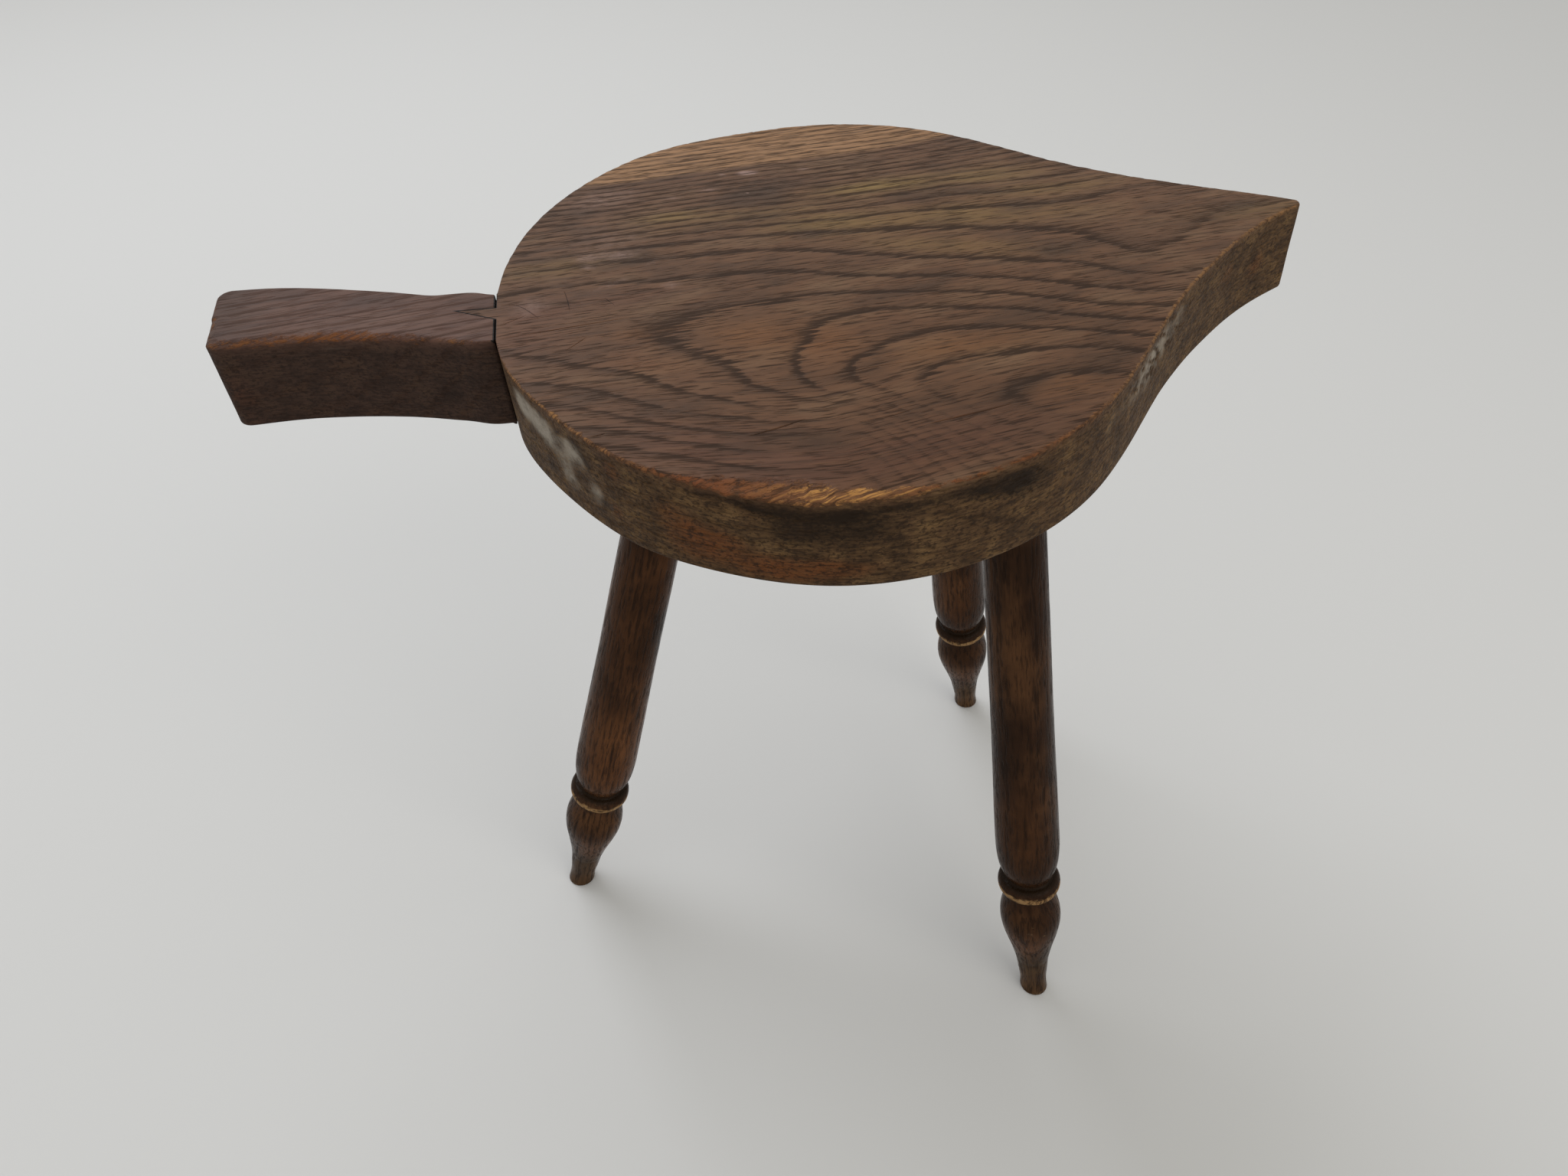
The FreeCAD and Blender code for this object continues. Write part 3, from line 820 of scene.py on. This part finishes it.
def arris_of(loop, free, near, far, middle):
    """The wear table read off for each point of an outline."""
    near, far = np.array(near), np.array(far)
    rows = []
    for (u, v), loose, centre in zip(loop, free, middle):
        table = near if v < centre else far
        row = [np.interp(u, table[:, 0], column) for column in table[:, 1:].T]
        rows.append(row if loose else GLUED_ARRIS)
    return np.array(rows)


def faintness(points):
    """How faint the growth rings look at each place on the seat's top, up to 0.85."""
    u, v = points[:, :2].T
    edge = -72 - 24 * smooth_step(140, 180, u)
    near_rim = smooth_step(0, 20, edge - v) * smooth_step(75, 100, u) * 0.85
    by_stalk = 0.4 * (1 - smooth_step(30, 60, u))
    near_left = 0.25 * smooth_step(-55, -75, v) * (1 - smooth_step(60, 100, u))
    far_side = 0.35 * smooth_step(35, 65, v) + 0.2 * smooth_step(96, 106, v)
    faint = np.max([near_rim, by_stalk, near_left, far_side], 0)
    return np.clip(faint + 0.6 * smooth_step(232, 285, u) * (v > -90), 0, 0.85)


def make_seat(material):
    """The leaf-shaped plank with its tongue, worn rim, checks and mortises."""
    loop, free = leaf_outline(OUTLINE_STEP)
    arris = arris_of(loop, free, NEAR_ARRIS, FAR_ARRIS, np.zeros(len(loop)))
    flat = np.c_[loop, np.zeros(len(loop))]
    ragged = 1 + 0.4 * rough(flat, 5.0, 2.2) + 0.25 * rough(flat, 1.9, 6.1)
    arris[:, 0] *= np.where(free > 0, ragged, 1)
    arris[:, 1] *= np.where(free > 0, 1 + 0.3 * rough(flat, 4.0, 9.1), 1)
    grooves = [groove(*check) for check in CHECKS]
    points, notes, faces = plank(loop, free, arris, grooves, mortises(), SEAT_STEPS, seat_relief)
    ring, ring_on_top, pitch = seat_rings(points)
    early = 1 - smooth_step(0.0, 0.3, np.abs(ring_on_top - np.round(ring_on_top)))
    points[:, 2] -= EARLY_WOOD_DIP * early * smooth_step(-0.4, 0, points[:, 2])
    stain = spots(points, STAINS, 4) * smooth_step(-6, -1, points[:, 2])[:, None]
    scuff_and_sheen_spots = spots(points, SCUFFS_AND_SHEEN, 1)[:, 0] * (1 - notes[:, 0])
    strokes = saw_strokes(points)
    marks = spots(points, WALL_MARKS, 3)
    marks[:, [0, 2]] *= 1 - strokes[:, None]
    marks[:, 1] += 0.9 * strokes
    sapwood = smooth_step(SAPWOOD_RING - 0.5, SAPWOOD_RING + 0.4, ring)
    fields = {
        "grain": seat_grain(points),
        "place": points,
        "ring": ring,
        "pitch": pitch,
        "cut": np.c_[notes[:, 0], notes[:, 4], sapwood],
        "wear": notes[:, 1:4],
        "stain": stain[:, :3],
        "marks": marks * notes[:, :1],
        "tinge": np.c_[stain[:, 3], scuff_and_sheen_spots, faintness(points)],
    }
    return wooden_piece("leaf_seat", points, faces, fields, SEAT_POSE, material)


def make_stem(material):
    """The swept stalk with its notch, its rubbed near arris and its dark sides."""
    loop, free = stem_outline(OUTLINE_STEP)
    middle = np.interp(loop[:, 0], [-STEM_LENGTH, 0], [STEM_SWEEP, 0])
    arris = arris_of(loop, free, STEM_NEAR_ARRIS, STEM_FAR_ARRIS, middle)
    flat = np.c_[loop, np.zeros(len(loop))]
    arris[:, 0] *= np.where(free > 0, 1 + 0.2 * rough(flat, 9.0, 4.2), 1)
    grooves = [groove(*STEM_SCRATCH)]
    points, notes, faces = plank(loop, free, arris, grooves, [], STEM_STEPS, stem_relief)
    # The end beside the seat comes nearer to it, and nearer still lower down
    sawn = np.abs(points[:, 0] + KERF) < 0.05
    points[sawn, 0] += KERF_LESS + KERF_LESS_BELOW * smooth_step(-1, -7, points[sawn, 2])
    u, v, w = points.T
    across = v - STEM_LEAN * u
    ring = across / STEM_RING_WIDTH + w / STEM_RING_DEPTH
    ring += 0.35 * rough(points, (60.0, 30.0, 30.0), 7.7)
    zero = np.zeros(len(points))
    fields = {
        "grain": np.c_[u, across, w],
        "place": points,
        "ring": ring,
        "pitch": zero + STEM_RING_WIDTH,
        "cut": np.c_[notes[:, 0], notes[:, 4], zero],
        "wear": notes[:, 1:4],
        "stain": np.c_[zero, zero, 0.7 * smooth_step(-84, -112, u)],
        "marks": spots(points, STEM_MARKS, 3) * notes[:, :1],
        "tinge": np.c_[zero, zero, zero],
    }
    return wooden_piece("leaf_stalk", points, faces, fields, SEAT_POSE, material)


def leg_outline(run):
    """Heights and radii of a whole leg: vase, bead, bullet, shaft and tenon."""
    shoulder = (run - SHOULDER_RUN, TENON_RADIUS)
    chamfer = (run + MORTISE_DEPTH - TENON_CHAMFER, TENON_RADIUS)
    vase, bead, bullet, shaft, tenon = LEG_STEPS
    line = np.concatenate(
        [
            smooth_line(VASE, vase)[:-1],
            smooth_line(BEAD, bead)[:-1],
            smooth_line(BULLET, bullet)[:-1],
            smooth_line(SHAFT + [shoulder], shaft),
            straight_lines([shoulder, chamfer], tenon)[1:],
            [(run + MORTISE_DEPTH, TENON_RADIUS - TENON_CHAMFER)],
        ]
    )
    line[:, 1] -= INCISED_DEPTH * hump(line[:, 0], INCISED_LINE, 0.8)
    return line


def make_leg(name, material):
    """One turned leg, a little out of round, with a foot worn level on the floor."""
    foot, splay, heading, run, pith, patch, faded = LEGS[name]
    pose = leg_pose(foot, splay, heading)
    line = leg_outline(run)
    turn = np.linspace(0, 2 * math.pi, LEG_SIDES, endpoint=False)
    seed = pith[0]
    slope = math.tan(math.radians(splay))
    rings = [
        (SOLE_ROUND * (1 - math.sin(a)), line[0, 1] - SOLE_ROUND * (1 - math.cos(a)))
        for a in (1.571, 1.0, 0.5)
    ]
    rings += [(height, radius) for height, radius in line if height > SOLE_ROUND]
    grid = []
    for height, radius in rings:
        skin = np.c_[np.cos(turn), np.sin(turn), np.zeros(LEG_SIDES)] * DENT_CYLINDER
        skin[:, 2] = height
        free = 1.0 - smooth_step(run - 12, run - 4, height)
        dent = DENT * rough(skin, (8.0, 8.0, 45.0), seed)
        dent += DENT / 2 * rough(skin, (3.0, 3.0, 9.0), seed)
        oval = OVAL * np.cos(2 * turn + seed)
        r = radius + free * smooth_step(0, 4, height) * (dent + oval - DENT)
        level = (smooth_step(0, FOOT_TURNED, height) - 1) * r * slope * np.cos(turn)
        grid.append(np.c_[np.cos(turn) * r, np.sin(turn) * r, height + level])
    cutting = Cutting()
    cutting.add(np.concatenate(grid), PLAIN_NOTE, band(len(grid), LEG_SIDES)[:, ::-1])
    cutting.add(*fan(grid[0], 1, SAWN_NOTE))
    cutting.add(*fan(grid[-1], -1, SAWN_NOTE))
    points, _, faces = cutting.join()
    x, y, s = points.T
    speck = rough(points, (4.0, 4.0, 6.0), seed)
    # Painted highlight: the leg is lighter down the side that faces the camera
    highlight_side = np.clip(np.cos(np.arctan2(y, x) - math.radians(patch)), 0, 1) ** 2
    rubbed = hump(s, BEAD_RIM, 2.8) * (0.95 + 0.35 * speck)
    rubbed += 0.3 * hump(s, BULLET_EDGE, 2.0) * (speck > 0) + 0.5 * hump(s, 0, 1.6)
    rubbed += 0.3 * hump(s, BELLY, 9.0) * np.clip(speck * 2, 0, 1)
    darkening = sum(strength * hump(s, at, reach) for at, reach, strength in LEG_DIRT)
    # Lighter colour: the painted highlight patches, then the worn foot and the faded shaft
    light = sum(strength * hump(s, at, reach) for at, reach, strength in LEG_PAINTED_HIGHLIGHT) * highlight_side
    light += 0.4 * (1 - smooth_step(10, 34, s)) + faded * smooth_step(100, 120, s)
    zero = np.zeros(len(points))
    fields = {
        "grain": np.c_[s, 0.65 * x, 0.65 * y],
        "place": points,
        "ring": np.hypot(x - pith[0], y - pith[1]) / LEG_RING_STEP + s / LEG_RING_RISE,
        "pitch": zero + LEG_RING_WIDTH,
        "cut": np.c_[zero, zero, zero],
        "wear": np.c_[np.clip(rubbed, 0, 1), 0.35 + zero, 0.35 + zero],
        # The stain field's second share holds the painted highlight with the lighter foot and faded
        # shaft
        "stain": np.c_[0.9 - 0.9 * smooth_step(18, 52, s), np.clip(light, 0, 1), zero],
        "marks": np.c_[zero, np.clip(darkening, 0, 1), zero],
        "tinge": np.c_[zero, zero, zero + 0.5],
    }
    piece = wooden_piece(name.replace("leg", "turned_leg"), points, faces, fields, pose, material)
    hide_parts(name)
    return piece


def linear(code):
    """A colour written as sRGB hex, as the linear values that a shader takes."""
    values = [int(code[i : i + 2], 16) / 255 for i in (1, 3, 5)]
    return [v / 12.92 if v <= 0.04045 else ((v + 0.055) / 1.055) ** 2.4 for v in values] + [1.0]


def add(tree, kind, inputs=(), out=0, **settings):
    """Adds one node, sets it, feeds its inputs by name or in order, returns one output."""
    made = tree.nodes.new("ShaderNode" + kind)
    for name, value in settings.items():
        setattr(made, name, value)
    for place, value in inputs.items() if isinstance(inputs, dict) else enumerate(inputs):
        socket = made.inputs[place]
        if isinstance(value, bpy.types.NodeSocket):
            tree.links.new(value, socket)
        else:
            socket.default_value = value
    return made.outputs[out] if made.outputs else made


def bare_tree(owner):
    """The emptied node tree of a material or a world."""
    owner.use_nodes = True
    owner.node_tree.nodes.clear()
    return owner.node_tree


def fill_ramp(socket, stops):
    """Sets the stops of the colour ramp that a socket belongs to: place and grey or hex."""
    ramp = socket.node.color_ramp
    while len(ramp.elements) < len(stops):
        ramp.elements.new(0.5)
    for element, (at, value) in zip(ramp.elements, stops):
        element.position = at
        element.color = linear(value) if isinstance(value, str) else (value, value, value, 1)
    return socket


# Places of the sockets of a colour mix: share, first and second colour, and the result
SHARE, FIRST, SECOND, MIXED = 0, 6, 7, 2


def layered(tree, base, layers):
    """Lets colours show through a base one after another, each by its share."""
    for share, colour in layers:
        first, second = (linear(c) if isinstance(c, str) else c for c in (base, colour))
        inputs = {SHARE: share, FIRST: first, SECOND: second}
        base = add(tree, "Mix", inputs, MIXED, data_type="RGBA")
    return base


# Patterns in the wood: the field they lie in, the real size of a lump in millimetres
# along, across and through it, then detail and roughness. Bundles of fibres are about 2 mm
# across; single fibres and pores are finer, and drawn as coarse as they need to show.
PATTERNS = {
    "bundles": ("grain", (26.0, 2.0, 2.0), 3.0, 0.6),
    "fibres": ("grain", (17.0, 1.15, 1.15), 2.0, 0.7),
    "dashes": ("grain", (8.0, 0.75, 0.75), 1.5, 0.7),
    "cloud": ("grain", (48.0, 22.0, 22.0), 4.0, 0.55),
    "blotch": ("place", (11.0, 7.0, 7.0), 3.0, 0.6),
    "grit": ("place", (2.0, 2.0, 1.2), 2.0, 0.7),
    "nicks": ("place", (4.0, 4.0, 1.4), 3.0, 0.75),
    "threads": ("place", (8.0, 8.0, 0.9), 3.0, 0.7),
    "splinters": ("torn", (24.0, 1.0, 4.0), 2.0, 0.6),
}
TORN_LEAN = -5
WAX_IOR = 1.46

# A growth ring's dark line from 1 mm before its start to 5 mm past it: place and darkness
RING_LINE = [
    (0.0, 0.0), (0.1, 0.15), (0.167, 0.8), (0.217, 1.0), (0.3, 0.9), (0.417, 0.4), (0.55, 0.1),
    (0.9, 0),
]


def oak(name, tones, band_share, pore_share, dullness, wax):
    """Old oak, stained dark and waxed.

    Ring-porous wood: each ring starts with a band of wide pores that took up stain and
    dirt and reads as a dark, streaky line; the late wood between is smoother and warmer.
    Handling has rubbed the arrises down to bare ochre fibre. Wax gives a soft sheen that
    breaks up over the open pores.
    """
    material = bpy.data.materials.new(name)
    tree = bare_tree(material)
    ring = add(tree, "Attribute", out="Fac", attribute_name="ring")
    pitch = add(tree, "Attribute", out="Fac", attribute_name="pitch")
    fields, parts = {}, {}
    for field in ("grain", "place", "cut", "wear", "stain", "marks", "tinge"):
        fields[field] = add(tree, "Attribute", out="Vector", attribute_name=field)
    for field in ("cut", "wear", "stain", "marks", "tinge"):
        parts[field] = add(tree, "SeparateXYZ", [fields[field]]).node.outputs
    side, crack, sapwood = parts["cut"]
    bare, warm, bleached = parts["wear"]
    olive, orange, black = parts["stain"]
    scrape, darkening, rust = parts["marks"]
    purple, scuff_and_sheen, faint = parts["tinge"]
    turned = {"Vector": fields["place"], "Axis": (0, 0, 1), "Angle": math.radians(TORN_LEAN)}
    fields["torn"] = add(tree, "VectorRotate", turned)
    lumps = {}
    for pattern, (field, sizes, detail, roughness) in PATTERNS.items():
        scale = [1 / size for size in sizes]
        spread = add(tree, "VectorMath", (fields[field], scale), operation="MULTIPLY")
        inputs = {"Vector": spread, "Scale": 1.0, "Detail": detail, "Roughness": roughness}
        lumps[pattern] = add(tree, "TexNoise", inputs)
    bundles, fibres, dashes, cloud, blotch, grit, nicks, threads, splinters = lumps.values()

    # Shares cut out of the patterns: the values where they start and are full, and the most
    grainy, flecks, threads, specks, light_fibre, dark_fibre = (
        add(tree, "MapRange", (lump, start, full, 0.0, most), interpolation_type="SMOOTHSTEP")
        for lump, start, full, most in (
            (bundles, 0.42, 0.72, 0.7), (nicks, 0.56, 0.72, 0.5), (threads, 0.45, 0.66, 0.7),
            (grit, 0.46, 0.66, 0.8), (splinters, 0.48, 0.62, 1.0), (splinters, 0.5, 0.36, 0.8),
        )
    )

    # Growth rings: a dark line at the start of each, 1.5 mm wide where the rings are cut
    # square and wider where they are cut at a slant, with edges drawn out along the fibres
    jag = add(tree, "Math", (bundles, 0.4, 0.2), operation="MULTIPLY_ADD")
    jag = add(tree, "Math", (fibres, 0.2, jag), operation="MULTIPLY_ADD")
    phase = add(tree, "Math", (ring, jag), operation="ADD")
    phase = add(tree, "Math", [phase], operation="FRACT")
    phase = add(tree, "Math", (phase, 0.5), operation="SUBTRACT")
    past = add(tree, "Math", (phase, pitch), operation="MULTIPLY")
    past = add(tree, "MapRange", (past, -1.0, 5.0))
    rings = fill_ramp(add(tree, "ValToRGB", [past]), RING_LINE)
    shown = add(tree, "Math", (faint, -0.8, 1.0), operation="MULTIPLY_ADD")
    rings = add(tree, "Math", (rings, shown), operation="MULTIPLY")
    rings_seen = add(tree, "Math", (rings, band_share), operation="MULTIPLY")

    # Open pores, which read as short dark dashes, crowd in the rings' dark lines
    pores = add(tree, "Math", (fibres, dashes), operation="ADD")
    pores = add(tree, "Math", (rings, 0.27, pores), operation="MULTIPLY_ADD")
    pores = add(tree, "MapRange", (pores, 1.01, 1.27), interpolation_type="SMOOTHSTEP")
    pores_seen = add(tree, "Math", (pores, pore_share), operation="MULTIPLY")

    # The faces along the grain: stained places, streaks, dry scuffs and painted sheen, rings and
    # pores
    colour = fill_ramp(
        add(tree, "ValToRGB", [cloud]),
        [(0.3, tones["low"]), (0.5, tones["wood"]), (0.7, tones["high"])],
    )
    stained = add(tree, "Math", (cloud, bundles), operation="ADD")
    stained = add(tree, "MapRange", (stained, 0.66, 1.12), interpolation_type="SMOOTHSTEP")
    layers = [(sapwood, tones["sapwood"])]
    # On the legs the orange share also carries a painted highlight down the side that faces the
    # camera
    for spot, tone, most in (
        (olive, "olive", 0.95), (orange, "orange", 0.7), (purple, "purple", 0.75),
        (black, "band", 0.8),
    ):
        patch = add(tree, "Math", (stained, spot), operation="MULTIPLY")
        patch = add(tree, "Math", (patch, most), operation="MULTIPLY")
        layers.append((patch, tones[tone]))
    scuff_and_sheen = add(tree, "Math", (nicks, scuff_and_sheen, scuff_and_sheen), operation="MULTIPLY_ADD")
    scuff_and_sheen = add(tree, "MapRange", (scuff_and_sheen, 0.5, 1.3), interpolation_type="SMOOTHSTEP")
    layers += [(grainy, tones["low"]), (scuff_and_sheen, tones["scuff_and_sheen"])]
    layers += [(rings_seen, tones["band"]), (pores_seen, tones["pore"])]
    colour = layered(tree, colour, layers)

    # Sawn walls: end fibres took more stain, with grime and painted shade, scrapes and rusty places
    wall = fill_ramp(
        add(tree, "ValToRGB", [blotch]),
        [(0.22, tones["wall_low"]), (0.5, tones["wall"]), (0.8, tones["wall_high"])],
    )
    patchy = add(tree, "Math", (grit, 0.5, 0.1), operation="MULTIPLY_ADD")
    patchy = add(tree, "Math", (blotch, 0.9, patchy), operation="MULTIPLY_ADD")
    worn = []
    for spot in (rust, scrape, darkening):
        patch = add(tree, "Math", (patchy, spot), operation="MULTIPLY")
        patch = add(tree, "MapRange", (patch, 0.25, 0.85), interpolation_type="SMOOTHSTEP")
        worn.append(patch)
    rusty, scraped, grime_and_shade = worn
    layers = [(rusty, tones["wall_rust"]), (flecks, tones["wall_high"])]
    layers += [(threads, tones["wall_low"]), (specks, tones["wall_low"])]
    layers += [(scraped, tones["wall_scrape"]), (grime_and_shade, tones["wall_dirt_and_shade"])]
    wall = layered(tree, wall, layers)
    # Dark marks, the painted shade among them, bring the wall's colour onto the top too
    walls = add(tree, "Math", (side, darkening), operation="MAXIMUM")

    # Rubbed and torn arrises: bare fibre from ochre to orange, with dark nicks
    light_fibre = add(tree, "Math", (light_fibre, bleached), operation="MULTIPLY")
    layers = [(warm, tones["flame"]), (light_fibre, tones["straw"]), (dark_fibre, tones["low"])]
    fibre = layered(tree, tones["ochre"], layers)
    rubbed = add(tree, "Math", (nicks, 1.8, -0.95), operation="MULTIPLY_ADD")
    rubbed = add(tree, "Math", (rubbed, bare), operation="ADD")
    rubbed = add(tree, "MapRange", (rubbed, 0.3, 0.75), interpolation_type="SMOOTHSTEP")
    open_crack = add(tree, "MapRange", (crack, 0.05, 0.5), interpolation_type="SMOOTHSTEP")
    layers = [(walls, wall), (rubbed, fibre), (open_crack, tones["crack"])]
    colour = layered(tree, colour, layers)

    # Wax sheen: smooth on the late wood, dull over pores, on the walls and on bare fibre
    dull = dullness
    for spot, amount in ((pores, 0.25), (cloud, 0.16), (side, 0.2), (rubbed, 0.22)):
        dull = add(tree, "Math", (spot, amount, dull), operation="MULTIPLY_ADD")

    # Relief: pores 0.1 mm deep, fibres and grit finer still
    height = add(tree, "Math", (pores, -0.12), operation="MULTIPLY")
    height = add(tree, "Math", (fibres, 0.06, height), operation="MULTIPLY_ADD")
    coarse = add(tree, "Math", (side, rubbed), operation="MAXIMUM")
    coarse = add(tree, "Math", (coarse, 0.3), operation="MULTIPLY")
    loose = add(tree, "Math", (grit, splinters), operation="ADD")
    height = add(tree, "Math", (coarse, loose, height), operation="MULTIPLY_ADD")
    relief = add(tree, "Bump", {"Strength": 1.0, "Distance": MM, "Height": height})
    inputs = {
        "Base Color": colour, "Roughness": dull, "IOR": WAX_IOR, "Specular IOR Level": wax,
        "Normal": relief,
    }
    add(tree, "OutputMaterial", {"Surface": add(tree, "BsdfPrincipled", inputs)})
    return material


SEAT_TONES = {
    "wood": "#5e412c", "low": "#402c1d", "high": "#6a503a", "sapwood": "#906c4b",
    "olive": "#7d663b", "orange": "#6c4424", "purple": "#58382a", "band": "#332317",
    "pore": "#271a11", "scuff_and_sheen": "#8c7268", "wall": "#553f29", "wall_low": "#281c12",
    "wall_high": "#745a3a", "wall_rust": "#643c20", "wall_scrape": "#938a7d",
    "wall_dirt_and_shade": "#20160d", "ochre": "#75563a", "flame": "#6c3e24", "straw": "#ab7c45",
    "crack": "#120d0a",
}
STEM_TONES = {
    **SEAT_TONES, "wood": "#593f34", "low": "#402d26", "high": "#644b40", "band": "#33251e",
    "wall": "#3c2c24", "wall_low": "#271c17", "wall_high": "#473529", "wall_rust": "#4f2a1b",
    "ochre": "#694a2e", "flame": "#693f22",
}
LEG_TONES = {
    **SEAT_TONES, "wood": "#322014", "low": "#1f130b", "high": "#4f3521", "band": "#1f140c",
    "pore": "#150d08", "orange": "#684124", "olive": "#54432f", "wall": "#33241a",
    "wall_low": "#1c130d", "wall_high": "#463222", "ochre": "#8b6d48", "flame": "#805c38",
    "straw": "#9d8058",
}


def floor_finish():
    """Plain painted floor: pale, matt and even."""
    material = bpy.data.materials.new("pale_painted_floor")
    tree = bare_tree(material)
    inputs = {"Base Color": linear("#c9c9c7"), "Roughness": 0.8}
    add(tree, "OutputMaterial", {"Surface": add(tree, "BsdfPrincipled", inputs)})
    return material


# Half the floor's width, in metres
FLOOR_HALF = 12.0


def make_floor():
    """A wide plain floor."""
    half = FLOOR_HALF
    mesh = bpy.data.meshes.new("floor")
    corners = [(-half, -half, 0), (half, -half, 0), (half, half, 0), (-half, half, 0)]
    mesh.from_pydata(corners, [], [(0, 1, 2, 3)])
    mesh.materials.append(floor_finish())
    floor = bpy.data.objects.new("floor", mesh)
    bpy.context.scene.collection.objects.link(floor)


def make_world():
    """A white surround for the eye and for reflections, and a softer one for light."""
    world = bpy.data.worlds.new("studio")
    bpy.context.scene.world = world
    tree = bare_tree(world)
    rays = add(tree, "LightPath").node.outputs
    seen = rays["Is Camera Ray"]
    for ray in ("Is Glossy Ray", "Is Transmission Ray"):
        seen = add(tree, "Math", (seen, rays[ray]), operation="MAXIMUM")
    strength = add(tree, "MapRange", {"Value": seen, "To Min": 0.72, "To Max": 0.9})
    light = add(tree, "Background", {"Color": linear("#f6f5f2"), "Strength": strength})
    add(tree, "OutputWorld", {"Surface": light})


# The point that the lamps face, in metres
LAMP_AIM = (0, 0, 0.3)


def make_lamp(name, place, size, power, colour):
    """A soft square lamp that faces the stool; place and size are in metres."""
    lamp = bpy.data.lights.new(name, "AREA")
    lamp.shape = "SQUARE"
    lamp.size = size
    lamp.energy = power
    lamp.color = linear(colour)[:3]
    holder = bpy.data.objects.new(name, lamp)
    holder.location = place
    beam = Vector(LAMP_AIM) - Vector(place)
    holder.rotation_euler = beam.to_track_quat("-Z", "Y").to_euler()
    bpy.context.scene.collection.objects.link(holder)


# The camera: place, how far it looks down and its slight roll; the lens takes in 2048 by 1536
CAMERA_PLACE = (11.169, -428.655, 638.72)
CAMERA_DOWN = 43.59
CAMERA_ROLL = 0.576
CAMERA_LENS = 26.367


def make_camera():
    """The camera at the photograph's viewing angle."""
    data = bpy.data.cameras.new("view")
    data.lens = CAMERA_LENS
    data.sensor_width = 36.0
    data.sensor_fit = "HORIZONTAL"
    data.clip_start = 0.02
    data.clip_end = 50.0
    down, roll = math.radians(CAMERA_DOWN), math.radians(CAMERA_ROLL)
    ahead = Vector((0, math.cos(down), -math.sin(down)))
    level_up = Vector((0, math.sin(down), math.cos(down)))
    side = Vector((1, 0, 0))
    right = side * math.cos(roll) + level_up * math.sin(roll)
    up = level_up * math.cos(roll) - side * math.sin(roll)
    camera = bpy.data.objects.new("view", data)
    turned = Matrix((right, up, -ahead)).transposed().to_4x4()
    camera.matrix_world = Matrix.Translation(Vector(CAMERA_PLACE) * MM) @ turned
    bpy.context.scene.collection.objects.link(camera)
    bpy.context.scene.camera = camera


seat_finish = oak(
    "waxed_oak_seat", SEAT_TONES, band_share=0.62, pore_share=0.75, dullness=0.36, wax=0.12
)
seat = make_seat(seat_finish)
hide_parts("seat_plank")
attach(seat, "root")

stalk_finish = oak(
    "handled_oak_stalk", STEM_TONES, band_share=0.16, pore_share=0.3, dullness=0.36, wax=0.12
)
stalk = make_stem(stalk_finish)
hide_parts("stem_block")
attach(stalk, "root")

leg_finish = oak(
    "turned_oak_legs", LEG_TONES, band_share=0.2, pore_share=0.55, dullness=0.12, wax=0.05
)
for leg_name in LEGS:
    leg = make_leg(leg_name, leg_finish)
    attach(leg, "root")

make_floor()
make_world()
make_lamp("back_light", (-1.0, 1.1, 2.3), size=1.6, power=30, colour="#f4f7ff")
make_lamp("front_light", (1.4, -1.5, 1.7), size=1.8, power=14, colour="#fffaf2")
make_camera()
bpy.context.scene.view_settings.view_transform = "Standard"
